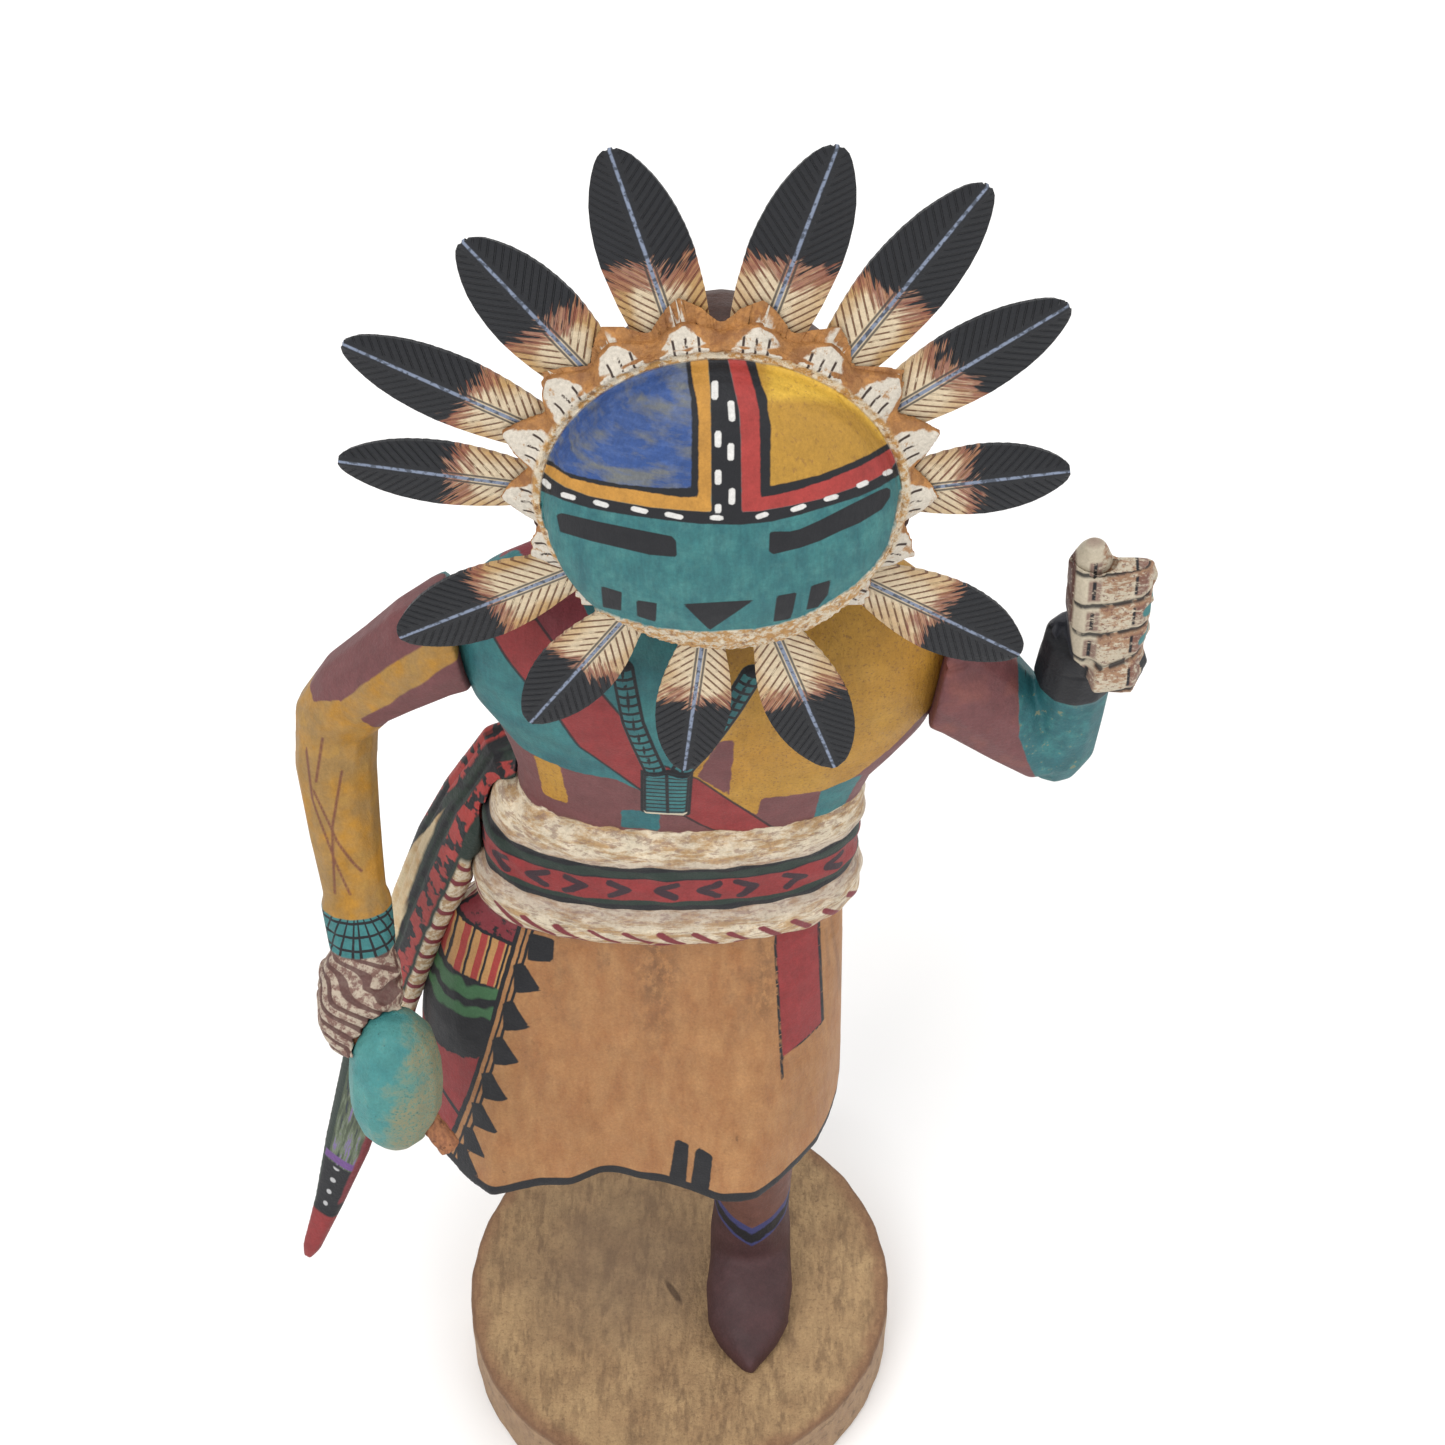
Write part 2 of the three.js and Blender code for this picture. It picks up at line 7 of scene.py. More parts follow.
import bpy
import numpy as np
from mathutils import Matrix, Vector


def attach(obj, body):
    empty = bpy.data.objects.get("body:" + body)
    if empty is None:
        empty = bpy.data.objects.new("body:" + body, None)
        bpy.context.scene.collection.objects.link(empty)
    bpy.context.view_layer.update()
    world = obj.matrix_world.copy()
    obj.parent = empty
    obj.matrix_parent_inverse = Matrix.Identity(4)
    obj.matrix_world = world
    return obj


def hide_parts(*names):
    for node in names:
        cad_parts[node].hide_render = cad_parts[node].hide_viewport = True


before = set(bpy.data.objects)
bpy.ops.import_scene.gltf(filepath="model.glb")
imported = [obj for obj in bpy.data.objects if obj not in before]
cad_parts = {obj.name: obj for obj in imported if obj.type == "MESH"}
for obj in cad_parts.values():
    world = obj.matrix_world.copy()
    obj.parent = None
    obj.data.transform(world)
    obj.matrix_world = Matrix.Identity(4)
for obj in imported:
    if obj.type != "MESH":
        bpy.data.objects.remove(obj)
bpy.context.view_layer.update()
MM = 0.001


# Measuring on a mesh

def deselect():
    bpy.ops.object.select_all(action="DESELECT")


def choose(piece):
    deselect()
    piece.select_set(True)
    bpy.context.view_layer.objects.active = piece


def spots(piece):
    """Every vertex of a piece, as rows of x, y, z."""
    flat = np.empty(len(piece.data.vertices) * 3)
    piece.data.vertices.foreach_get("co", flat)
    return flat.reshape(-1, 3) / MM


def outward(piece):
    flat = np.empty(len(piece.data.vertices) * 3)
    piece.data.vertex_normals.foreach_get("vector", flat)
    return flat.reshape(-1, 3)


def reshape(piece, points):
    piece.data.vertices.foreach_set("co", (points * MM).ravel())
    piece.data.update()


def lay(piece, name, values):
    """Keeps a value at every vertex, for the material to read."""
    layer = piece.data.attributes.new(name, "FLOAT", "POINT")
    layer.data.foreach_set("value", np.asarray(values, dtype=np.float32))


def line_distance(u, v, start, end):
    (u0, v0), (u1, v1) = start, end
    run_u, run_v = u1 - u0, v1 - v0
    length = math.hypot(run_u, run_v)
    share = np.clip(((u - u0) * run_u + (v - v0) * run_v) / length ** 2, 0, 1)
    return np.hypot(u - u0 - share * run_u, v - v0 - share * run_v), share * length


def stroke(u, v, path):
    """Distance to a brushed line."""
    return np.min([line_distance(u, v, a, b)[0] for a, b in zip(path, path[1:])], axis=0)


def area(u, v, corners):
    """Distance to the edge of a painted area, less than nothing inside it."""
    edge = stroke(u, v, corners + corners[:1])
    inside = np.zeros(len(u), dtype=bool)
    for (u0, v0), (u1, v1) in zip(corners, corners[1:] + corners[:1]):
        if v0 != v1:
            crosses = (v0 > v) != (v1 > v)
            inside ^= crosses & (u < (u1 - u0) * (v - v0) / (v1 - v0) + u0)
    return np.where(inside, -edge, edge)


def union(*areas):
    return np.minimum.reduce(areas)


def rise(value, start, span):
    """From 0 at the start to 1 a span further."""
    return np.clip((value - start) / span, 0, 1)


def fall(value, end, span):
    return np.clip((end - value) / span, 0, 1)


def bell(value, middle, width):
    return np.exp(-((value - middle) / width) ** 2)


# Carving

def carved(node, name, voxel, passes):
    """A copy of a CAD node with fine even faces, softened as by sanding."""
    deselect()
    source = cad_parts[node]
    piece = bpy.data.objects.new(name, source.data.copy())
    piece.data.name = name
    piece.data.materials.clear()
    bpy.context.scene.collection.objects.link(piece)
    choose(piece)
    bpy.ops.object.mode_set(mode="EDIT")
    bpy.ops.mesh.select_all(action="SELECT")
    bpy.ops.mesh.remove_doubles(threshold=0.01 * MM)
    bpy.ops.object.mode_set(mode="OBJECT")
    remesh = piece.modifiers.new("even", "REMESH")
    remesh.mode = "VOXEL"
    remesh.voxel_size = voxel * MM
    smooth = piece.modifiers.new("sanded", "SMOOTH")
    smooth.factor = 0.5
    smooth.iterations = passes
    for step in ("even", "sanded"):
        bpy.ops.object.modifier_apply(modifier=step)
    finish_faces(piece)
    return piece


def finish_faces(piece, degrees=50):
    choose(piece)
    bpy.ops.object.shade_smooth_by_angle(angle=math.radians(degrees))


def push(piece, amounts):
    """Moves each vertex along its own outward direction."""
    reshape(piece, spots(piece) + outward(piece) * amounts[:, None])


def stand_for(piece, node, material, degrees=50):
    finish_faces(piece, degrees)
    piece.data.materials.clear()
    piece.data.materials.append(material)
    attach(piece, "root")
    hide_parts(node)


# Material nodes

def tint(text):
    """A colour as the eye names it, turned into the shader's own scale."""
    parts = [int(text[i:i + 2], 16) / 255 for i in (0, 2, 4)]
    return tuple(c / 12.92 if c < 0.04045 else ((c + 0.055) / 1.055) ** 2.4 for c in parts) + (1,)


class Mark:
    """A value or colour on its way through a material."""

    def __init__(self, paint, socket):
        self.paint = paint
        self.socket = socket

    def __add__(self, other):
        return self.paint.math("ADD", self, other)

    def __sub__(self, other):
        return self.paint.math("SUBTRACT", self, other)

    def __rsub__(self, other):
        return self.paint.math("SUBTRACT", other, self)

    def __mul__(self, other):
        return self.paint.math("MULTIPLY", self, other)

    def __truediv__(self, other):
        return self.paint.math("DIVIDE", self, other)

    def __mod__(self, other):
        return self.paint.math("FLOORED_MODULO", self, other)

    def __and__(self, other):
        return self.paint.math("MINIMUM", self, other)

    def __or__(self, other):
        return self.paint.math("MAXIMUM", self, other)

    def __abs__(self):
        return self.paint.math("ABSOLUTE", self)

    __radd__ = __add__
    __rmul__ = __mul__

    def below(self, limit, soft=0.25):
        """1 where the value is under the limit, 0 above it."""
        return self.paint.math("ADD", (limit - self) / soft, 0.5, clamp=True)

    def above(self, limit, soft=0.25):
        return self.paint.math("ADD", (self - limit) / soft, 0.5, clamp=True)


class Paint:
    """One material and the nodes that colour it."""

    def __init__(self, name):
        self.material = bpy.data.materials.new(name)
        self.material.use_nodes = True
        self.tree = self.material.node_tree
        self.shader = self.tree.nodes["Principled BSDF"]
        self.object = self.node("ShaderNodeTexCoord", out="Object")
        self.spot = self.node("ShaderNodeVectorMath", {"operation": "SCALE"}, {0: self.object, "Scale": 1 / MM})
        split = self.node("ShaderNodeSeparateXYZ", None, {0: self.spot}, out=None)
        self.x, self.y, self.z = (Mark(self, split.outputs[axis]) for axis in "XYZ")

    def node(self, kind, settings=None, inputs=None, out=0):
        made = self.tree.nodes.new(kind)
        for key, value in (settings or {}).items():
            setattr(made, key, value)
        for key, value in (inputs or {}).items():
            if isinstance(value, Mark):
                self.tree.links.new(value.socket, made.inputs[key])
            else:
                made.inputs[key].default_value = value
        return made if out is None else Mark(self, made.outputs[out])

    def math(self, operation, a, b=None, clamp=False):
        inputs = {0: a} if b is None else {0: a, 1: b}
        return self.node("ShaderNodeMath", {"operation": operation, "use_clamp": clamp}, inputs)

    def value(self, name):
        return self.node("ShaderNodeAttribute", {"attribute_name": name}, out="Fac")

    def place(self, x, y, z):
        return self.node("ShaderNodeCombineXYZ", None, {0: x, 1: y, 2: z})

    def stretch(self, x, y, z):
        return self.node("ShaderNodeVectorMath", {"operation": "MULTIPLY"}, {0: self.spot, 1: (x, y, z)})

    def noise(self, size, detail=2, rough=0.5, where=None):
        inputs = {"Vector": where or self.spot, "Scale": 1 / size, "Detail": detail, "Roughness": rough}
        return self.node("ShaderNodeTexNoise", None, inputs, out="Fac")

    def mix(self, share, under, over):
        """Paints a colour over another by a share from 0 to 1."""
        made = self.node("ShaderNodeMix", {"data_type": "RGBA"}, None, out=None)
        for socket, value in ((made.inputs[0], share), (made.inputs[6], under), (made.inputs[7], over)):
            if isinstance(value, Mark):
                self.tree.links.new(value.socket, socket)
            else:
                socket.default_value = value
        return Mark(self, made.outputs[2])

    def tone(self, colour, factor):
        """Darkens or lightens a colour by a factor."""
        colour = colour if isinstance(colour, Mark) else colour[:3]
        return self.node("ShaderNodeVectorMath", {"operation": "SCALE"}, {0: colour, "Scale": factor})

    def layers(self, colour, *coats):
        for share, over in coats:
            colour = self.mix(share, colour, over)
        return colour

    def finish(self, colour, rough, height=None, depth=0.2, specular=0.35, aged=True):
        shader = self.shader
        if aged:
            grime = self.noise(0.55, 4, 0.75) * 0.55 + self.noise(5, 4, 0.65) * 0.3
            colour = self.tone(colour, 0.375 + grime)
        self.tree.links.new(colour.socket, shader.inputs["Base Color"])
        if isinstance(rough, Mark):
            self.tree.links.new(rough.socket, shader.inputs["Roughness"])
        else:
            shader.inputs["Roughness"].default_value = rough
        shader.inputs["Specular IOR Level"].default_value = specular
        if height is not None:
            bump = self.node("ShaderNodeBump", None, {"Height": height, "Distance": depth * MM, "Strength": 1.0})
            self.tree.links.new(bump.socket, shader.inputs["Normal"])
        return self.material


# Paints, named as on the bench
TURQUOISE = tint("387879")
TURQUOISE_DEEP = tint("296369")
BLUE = tint("304e88")
BLUE_DEEP = tint("28406f")
OLIVE = tint("84805f")
OCHRE = tint("bd883a")
YELLOW = tint("b28632")
# Brighter yellow, used as a painted highlight on the face's upper right slope.
YELLOW_HIGHLIGHT = tint("e2b643")
CHEST_YELLOW = tint("b07e28")
RED = tint("8b2f30")
FACE_RED = tint("a43a36")
MAROON = tint("6f4142")
DARK_RED = tint("7c2d35")
BLACK = tint("18191e")
GREEN_BLACK = tint("24322b")
GREEN = tint("3f6a45")
WHITE = tint("dcdad6")
CREAM = tint("d9cbb2")
ROLL_STAIN = tint("a9824f")
PETAL_WHITE = tint("d3cabb")
RAW_WOOD = tint("a06f40")
STAIN_BROWN = tint("7d5634")
DISC_BROWN = tint("4d3128")
FEATHER_BLACK = tint("181a1f")
FEATHER_RED = tint("83473a")
FEATHER_CREAM = tint("d6c3a4")
FEATHER_TAN = tint("b78f57")
BURNT = tint("6b4027")
QUILL_SHEEN = tint("7f8aa0")
KILT_WOOD = tint("a26e43")
KILT_LIGHT = tint("b58556")
KILT_DARK = tint("855f41")
BOOT = tint("4d3132")
VIOLET = tint("3c3f6e")
HAND_BROWN = tint("6f463f")
BASE_TOP = tint("a78660")
BASE_DARK = tint("715840")
BASE_PALE = tint("c4a376")
BASE_SIDE = tint("94765a")
STICK = tint("8d5b40")


def wood_fibre(paint, size=0.9):
    """Fine upright fibres that show through thin paint."""
    return paint.noise(size, 3, 0.6, paint.stretch(1, 1, 0.14))


def worn(paint, colour, strength=0.3, size=5):
    """Uneven thin paint: soft patches, fibres and small pits."""
    patches = paint.noise(size, 4, 0.6)
    fibres = wood_fibre(paint)
    return paint.tone(colour, 1 + (patches - 0.5) * strength * 1.3 + (fibres - 0.5) * strength)


# The figure: torso, waist, kilt and legs

def belt_length(x, y):
    """Distance round the waist from the front, along its own curve."""
    turns = np.linspace(-1.5 * math.pi, 0.5 * math.pi, 721)
    c, s = np.cos(turns), np.sin(turns)
    middle_x, middle_y = BELT_MIDDLE
    bx = middle_x + 36.8 * np.sign(c) * np.abs(c) ** (2 / 2.3)
    by = middle_y + 16.2 * np.sign(s) * np.abs(s) ** (2 / 2.3)
    length = np.concatenate([[0], np.cumsum(np.hypot(np.diff(bx), np.diff(by)))])
    length -= np.interp(-0.5 * math.pi, turns, length)
    angle = np.arctan2(by - middle_y, bx - middle_x)
    angle = np.unwrap(angle)
    angle += -0.5 * math.pi - np.interp(0, length, angle)
    place = np.arctan2(y - middle_y, x - middle_x)
    place = np.where(place > 0.5 * math.pi, place - 2 * math.pi, place)
    return np.interp(place, angle, length)


BELT_MIDDLE = (0.3, 8.4)
BELT_MARKS = [
    (-35, -1), (-26.5, -1), (-18.8, 1), (-10, 1), (-0.8, -1), (7.6, -1), (15.2, 1), (24.6, 1), (33, -1),
]
STRAND_LEFT = [(-7.2, 258), (-5.6, 244), (-2.2, 229)]
STRAND_RIGHT = [(15.4, 257), (9.6, 242), (2.9, 229)]
STRAND_BEND = 14.1
TAB = [(-4.1, 228), (4.4, 228.6), (3.7, 212.8), (-4.4, 213.4)]
BANDOLIER = [
    (-31, 262), (-18.9, 242.9), (-15.5, 234), (-8.3, 225.4), (-4.3, 220.2), (3.5, 211.6), (12.1, 203),
    (22.3, 202.5), (12.7, 216.1), (5.7, 225.6), (-4, 233), (-6.7, 244.1), (-10.7, 250.9), (-22, 266),
]
KILT_TOP = 169.6
KILT_FOOT = 96.9


def panel_edge(z):
    """Where the painted kilt panel's right edge runs down the front."""
    return -27.4 - (167 - z) * 0.27


def paint_torso(piece, x, y, z):
    lay(piece, "turquoise", union(
        area(x, z, [(-60, 300), (-60, 236), (-33, 232), (-29.5, 228), (-26.8, 225.7), (-19.5, 224.2), (-8.9, 223.6),
                    (-4, 219.8), (4, 226), (6, 300)]),
        area(x, z, [(-8.4, 213), (-8.9, 206.9), (-1.6, 206.6), (-1.2, 214)]),
        area(x, z, [(28.4, 217.9), (34.4, 219.6), (36, 219), (32.8, 204.9), (26.8, 203.6)]),
    ))
    lay(piece, "yellow", union(
        area(x, z, [(-24.2, 225.2), (-19.5, 224.6), (-18.4, 211.3), (-23.2, 211.6)]),
        area(x, z, [(4, 226), (10, 219.4), (16.6, 211.4), (17.4, 217.6), (28, 217.2), (34.4, 219.4), (41.8, 229),
                    (46, 235.4), (60, 240), (60, 300), (6, 300)]),
    ))
    lay(piece, "maroon", union(
        area(x, z, [(5.6, 226.2), (9.4, 239), (12.4, 238.9), (11.4, 219.7)]),
        area(x, z, [(17.4, 217.9), (28.2, 217.6), (27, 203.6), (23.8, 202.7), (16.6, 210.2)]),
        area(x, z, [(-18.4, 211.6), (-8.6, 211.4), (-8.8, 208.4), (-10.2, 206), (-12, 208.8), (-14, 206.8),
                    (-15.2, 209.2)]),
    ))
    patch = [(-29, 266), (-27.2, 261), (-23.6, 254.8), (-18, 246), (-9, 262), (-16, 274)]
    lay(piece, "shoulder_patch", area(x, z, patch))
    lay(piece, "bandolier", area(x, z, BANDOLIER))
    left, left_run = line_distance(x, z, STRAND_LEFT[0], STRAND_LEFT[1])
    low, low_run = line_distance(x, z, STRAND_LEFT[1], STRAND_LEFT[2])
    right, right_run = line_distance(x, z, STRAND_RIGHT[0], STRAND_RIGHT[2])
    front = np.maximum(y - 4, 0) * 4
    lay(piece, "strand", union(left, low, right) + front)
    left_run = np.where(low < left, low_run + STRAND_BEND, left_run)
    lay(piece, "strand_run", np.where(right < np.minimum(left, low), right_run, left_run))
    lay(piece, "tab", area(x, z, TAB) + front)


def paint_kilt(piece, x, y, z):
    girth = belt_length(x, y)
    lay(piece, "girth", girth)
    chevrons = []
    unseen = [(side * (42.5 + 8.8 * i), side * (1 if i % 2 else -1)) for side in (-1, 1) for i in range(4)]
    for middle, way in BELT_MARKS + unseen:
        arms = [(middle - 1.9 * way, 192.2), (middle + 1.7 * way, 190.2), (middle - 1.7 * way, 188.2)]
        chevrons.append(stroke(girth, z, arms))
    lay(piece, "chevrons", np.minimum.reduce(chevrons))
    stitches = [stroke(girth, z, [(s - 2, 177.6), (s + 2.2, 173)]) for s in np.arange(-88.2, 90, 6.3)]
    lay(piece, "stitches", np.minimum.reduce(stitches))
    edge = (x - panel_edge(z)) * 0.965
    lay(piece, "panel", edge)
    teeth = [area(x, z, [(-27.8, 167.4), (-22.8, 167.4), (-23.2, 161.8), (-28.4, 161)])]
    for i, tip in enumerate((154.8, 145.4, 136.4, 126.6, 117.4, 108.8, 102)):
        reach = 4.9 if i < 5 else 4.2
        base = panel_edge(tip)
        teeth.append(area(x, z, [(base + 1.6, tip + 5.4), (base + reach, tip - 0.6), (base - 0.6, tip - 2.2),
                                 (base - 0.6, tip + 4)]))
    lay(piece, "teeth", np.where(y < 12, union(*teeth), 9))
    lay(piece, "bars", np.where(y < 5, union(
        area(x, z, [(0.5, 113.8), (3.3, 112.8), (2.4, 98), (-1.3, 98)]),
        area(x, z, [(4.6, 111.4), (5.4, 112.8), (8.2, 111.6), (7, 96), (3.1, 96)]),
    ), 9))
    lay(piece, "red_strip", np.where(y < 12, area(x, z, [(20.4, 170), (29, 170), (30.6, 137.2), (22.4, 136)]), 9))
    lay(piece, "strip_lines", np.where(y < 12, union(
        stroke(x, z, [(20.4, 170), (22.4, 130)]), stroke(x, z, [(29, 170), (30.6, 137.2), (23, 136)]),
    ), 9))
    # Painted shade: dark lines along the carved folds at the kilt's right side, on the front.
    lay(piece, "fold_shade", np.where(y < 16, union(
        stroke(x, z, [(31.6, 166), (33.4, 150), (34.4, 136)]), stroke(x, z, [(30.6, 164), (31.6, 152)]),
    ), 9))
    around = np.degrees(np.arctan2(y - 10, x + 7))
    around = np.where(around < 0, around + 360, around)
    lay(piece, "around", around)


def make_figure():
    piece = carved("body", "carved_figure", 0.84, 15)
    x, y, z = spots(piece).T
    girth = belt_length(x, y)
    waist = (z > 166) & (z < 208)
    lumps = 0.25 * np.sin(girth * 0.55 + z) * np.sin(girth * 0.21 - 1)
    grooves = -0.5 * bell(z, 183.4, 0.8) - 0.45 * bell(z, 196.8, 0.7)
    grooves -= 0.7 * bell(z, 205.6, 0.8)
    amounts = np.where(waist, lumps + grooves, 0)
    front = y < 4
    strand = union(*(stroke(x, z, path) for path in (STRAND_LEFT, STRAND_RIGHT)))
    amounts += np.where(front, 0.7 * np.clip(1.5 - strand / 1.6, 0, 1), 0)
    amounts += np.where(front & (z < 231), 0.8 * np.clip(0.5 - area(x, z, TAB) / 0.8, 0, 1), 0)
    fold = np.exp(-(stroke(x, z, [(31.6, 166), (34.4, 134)]) / 0.9) ** 2)
    amounts += np.where((z > 160) & (z < 200), -0.35 * fold * (y < 16), 0)
    push(piece, amounts)
    points = spots(piece)
    x, y, z = points.T
    side = fall(x, -24, 14) ** 2 * np.clip((32 - np.abs(y - 10)) / 16, 0, 1)
    swell = 5.6 * rise(z, 108, 30) * fall(z, 171, 8)
    points[:, 0] -= side * swell
    toe = np.interp(y, [-24.5, -21, -17, -12, -4, 6, 17], [0.15, 0.5, 0.82, 1.02, 1.12, 1.06, 0.97])
    foot = (x > 0) * fall(z, 46, 10)
    points[:, 0] += foot * (toe - 1) * (x - 16.4)
    reshape(piece, points)
    x, y, z = points.T
    paint_torso(piece, x, y, z)
    paint_kilt(piece, x, y, z)
    stand_for(piece, "body", figure_paint())


def torso_coats(p):
    wobble = (p.noise(1.6, 2) - 0.5) * 0.9
    line = (p.noise(2.5) - 0.5) * 0.25
    turquoise = worn(p, p.mix(p.noise(7, 3, 0.6).above(0.52, 0.3), TURQUOISE_DEEP, TURQUOISE), 0.45, 4)
    pits = p.noise(0.55, 2, 0.6).below(0.37, 0.05)
    chest = worn(p, p.mix(p.noise(12, 3).above(0.55, 0.4), CHEST_YELLOW, YELLOW), 0.35, 6)
    chest = p.mix(pits * 0.5, chest, STAIN_BROWN)
    maroon = worn(p, MAROON, 0.25)
    strand, run = p.value("strand"), p.value("strand_run")
    beads = ((run % 2.2) - 1.1)
    grid = (abs(beads).above(0.74, 0.12) | abs(strand).below(0.34, 0.15)) | strand.above(1.5, 0.15)
    tab = p.value("tab")
    rows = abs((p.z % 1.35) - 0.67).above(0.47, 0.14)
    tab_lines = (rows | abs(p.x - 0.1).below(0.32, 0.2)) | tab.above(-0.5, 0.25)
    foot = p.z.below(214.2, 0.3)
    return p.layers(
        maroon,
        (p.value("turquoise").below(wobble), turquoise),
        (p.value("yellow").below(wobble), chest),
        (p.value("maroon").below(wobble), maroon),
        (p.value("shoulder_patch").below(wobble), worn(p, DARK_RED, 0.3)),
        (p.value("bandolier").below(wobble), worn(p, RED, 0.28)),
        (abs(p.value("bandolier") + line).below(0.28, 0.2) * 0.85, BLACK),
        (strand.below(2.1, 0.2), turquoise),
        (strand.below(2.1, 0.2) * grid, BLACK),
        (tab.below(0), turquoise),
        (tab.below(0) * foot, CREAM),
        (tab.below(0) * tab_lines * (1 - foot), BLACK),
        (abs(tab - 0.25).below(0.3, 0.2), BLACK),
    )


def belt_coats(p, colour):
    z, drift = p.z, (p.noise(4) - 0.5) * 0.9
    level = z + drift
    dark_patch = p.noise(1, 5, 0.7, p.stretch(0.14, 0.14, 0.5))
    roll = p.mix(dark_patch.above(0.52, 0.14) * 0.85, CREAM, ROLL_STAIN)
    roll = p.mix(p.noise(1, 4, 0.7, p.stretch(0.4, 0.4, 1.4)).above(0.56, 0.08) * 0.65, roll, tint("8e7263"))
    # Painted shade: the rolls are darkened to grey-purple close to the belt, most where they meet it.
    belt_shade = abs(z - 190).below(9.5, 4)
    roll = p.mix(belt_shade * 0.45, worn(p, roll, 0.3), tint("8b7775"))
    red = worn(p, RED, 0.3)
    return p.layers(
        colour,
        ((z + (p.noise(2.2, 3) - 0.5) * 3).below(206, 0.4), roll),
        (level.below(198.2, 0.3), BLACK),
        (level.below(196.2, 0.3), GREEN_BLACK),
        (level.below(195.6, 0.5), worn(p, GREEN_BLACK, 0.4)),
        (level.below(193.9, 0.3), BLACK),
        (level.below(193.5, 0.3), red),
        (level.below(194) * p.value("chevrons").below(0.85 + (p.noise(1.5) - 0.5) * 0.5, 0.25), tint("36222a")),
        (level.below(187, 0.3), GREEN_BLACK),
        (level.below(185.6, 0.3), BLACK),
        (level.below(183.8, 0.3), roll),
        (p.value("stitches").below(0.75, 0.3) * level.below(179), DARK_RED),
        (level.below(172.4, 0.6) * p.noise(2.4).above(0.46, 0.1), DARK_RED),
    )


def kilt_wood(p):
    stretch = p.stretch(1, 1, 0.22)
    grain = p.noise(3.2, 5, 0.65, stretch)
    streaks = p.noise(7, 4, 0.7, p.stretch(1, 1, 0.3)).above(0.6, 0.14)
    knots = p.noise(2.1, 3, 0.6, p.stretch(1, 1, 0.6)).above(0.66, 0.06)
    top = p.z.above(135, 50)
    wood = p.mix(grain.above(0.5, 0.35), KILT_WOOD, KILT_LIGHT)
    wood = p.mix(streaks * top * 0.55, wood, KILT_DARK)
    wood = p.mix(knots * streaks * 0.7, wood, STAIN_BROWN)
    damp = (1 - abs(p.x + 3 + (p.noise(9, 2) - 0.5) * 9) / 5).above(0.4, 1) * p.z.above(146, 26)
    damp = damp | ((1 - abs(p.x - 18.5) / 3).above(0.4, 1) * abs(p.z - 156).below(9, 6) * 0.8)
    speckle = p.noise(1.3, 4, 0.7, p.stretch(1, 1, 0.5))
    wood = p.mix(damp * speckle.above(0.47, 0.12) * p.y.below(4, 4) * 0.6, wood, tint("6e4a30"))
    return p.tone(wood, 0.93 + (p.noise(0.6, 3, 0.6) - 0.5) * 0.35 + (p.noise(15, 2) - 0.5) * 0.25)


def kilt_coats(p, colour):
    z, edge = p.z, p.value("panel") + (p.noise(3) - 0.5) * 0.4
    wood = kilt_wood(p)
    rough = (p.noise(1.5, 2) - 0.5) * 1.2
    front = p.y.below(9.4, 0.4)
    panel = edge.below(-2.6, 0.2) * front
    stripe = (edge + 40) % 3.3
    stripes = p.layers(
        worn(p, tint("b98a55"), 0.3),
        (((edge + 41.65) % 3.3).below(1.3, 0.2), FACE_RED),
        (stripe.below(0.45, 0.15), BLACK),
    )
    waves = z + (p.noise(5, 1) - 0.5) * 5 - edge * 0.25
    greens = p.layers(
        BLACK,
        (abs(waves - 151.5).below(1.6, 0.6), GREEN),
        (abs(waves - 146.4).below(1.2, 0.6), GREEN),
    )
    painted = p.layers(
        greens,
        (z.above(152 + rough, 0.4), stripes),
        (z.above(163.4 + rough, 0.4), worn(p, p.mix(p.noise(1.6).above(0.62, 0.08), DARK_RED, BLACK), 0.2)),
        ((z + rough * 1.6 - edge * 0.6).below(136, 0.4), worn(p, RED, 0.25)),
        (abs(z + edge * 0.6 - 113).below(0.7, 0.2), BLACK),
        (abs(z - 163.4 - rough).below(0.4, 0.2), BLACK),
    )
    lines = abs(edge).below(0.28, 0.15) | abs(edge + 1.1).below(0.22, 0.15) | abs(edge + 2.5).below(0.42, 0.15)
    around = p.value("around")
    rope = abs(around - 177).below(5.5, 0.6)
    twist = ((z + around * 1.2) % 6).below(1.5, 0.4)
    hem = z + (p.noise(6) - 0.5) * 0.9
    return p.layers(
        colour,
        (z.below(KILT_TOP, 0.3), wood),
        (z.below(KILT_TOP) * panel, painted),
        (z.below(KILT_TOP) * front * lines, BLACK),
        (z.below(KILT_TOP) * rope, worn(p, p.mix(p.noise(2, 4).above(0.52, 0.2), CREAM, ROLL_STAIN), 0.3)),
        (z.below(KILT_TOP) * rope * twist, DARK_RED),
        (abs(around - 183.5).below(0.6, 0.3) * z.below(KILT_TOP), BLACK),
        (p.value("teeth").below(rough * 0.25), BLACK),
        (p.value("bars").below(rough * 0.3), BLACK),
        (p.value("red_strip").below(0.0) * z.below(171), worn(p, RED, 0.3)),
        (p.value("strip_lines").below(0.3, 0.2) * z.below(170), BLACK),
        # Painted shade: the kilt wood is darkened along its carved folds.
        (p.value("fold_shade").below(0.3, 0.4) * 0.55, KILT_DARK),
        (hem.below(101.2, 0.3), BLACK),
    )


def leg_coats(p, colour):
    z = p.z
    boot = worn(p, p.mix(p.noise(6, 3).above(0.5, 0.3), BOOT, tint("452b2c")), 0.3)
    curve = z + 1.5 - abs(p.x - 16.8) * 0.9
    return p.layers(
        colour,
        (z.below(KILT_FOOT, 0.2), boot),
        (curve.above(52) * z.below(KILT_FOOT), worn(p, tint("684339"), 0.3)),
        (abs(curve - 49).below(4.6, 0.5) * z.below(90), VIOLET),
        ((abs(curve - 48) + (p.noise(3) - 0.5) * 3).below(2.4, 0.8) * z.below(90), BLACK),
    )


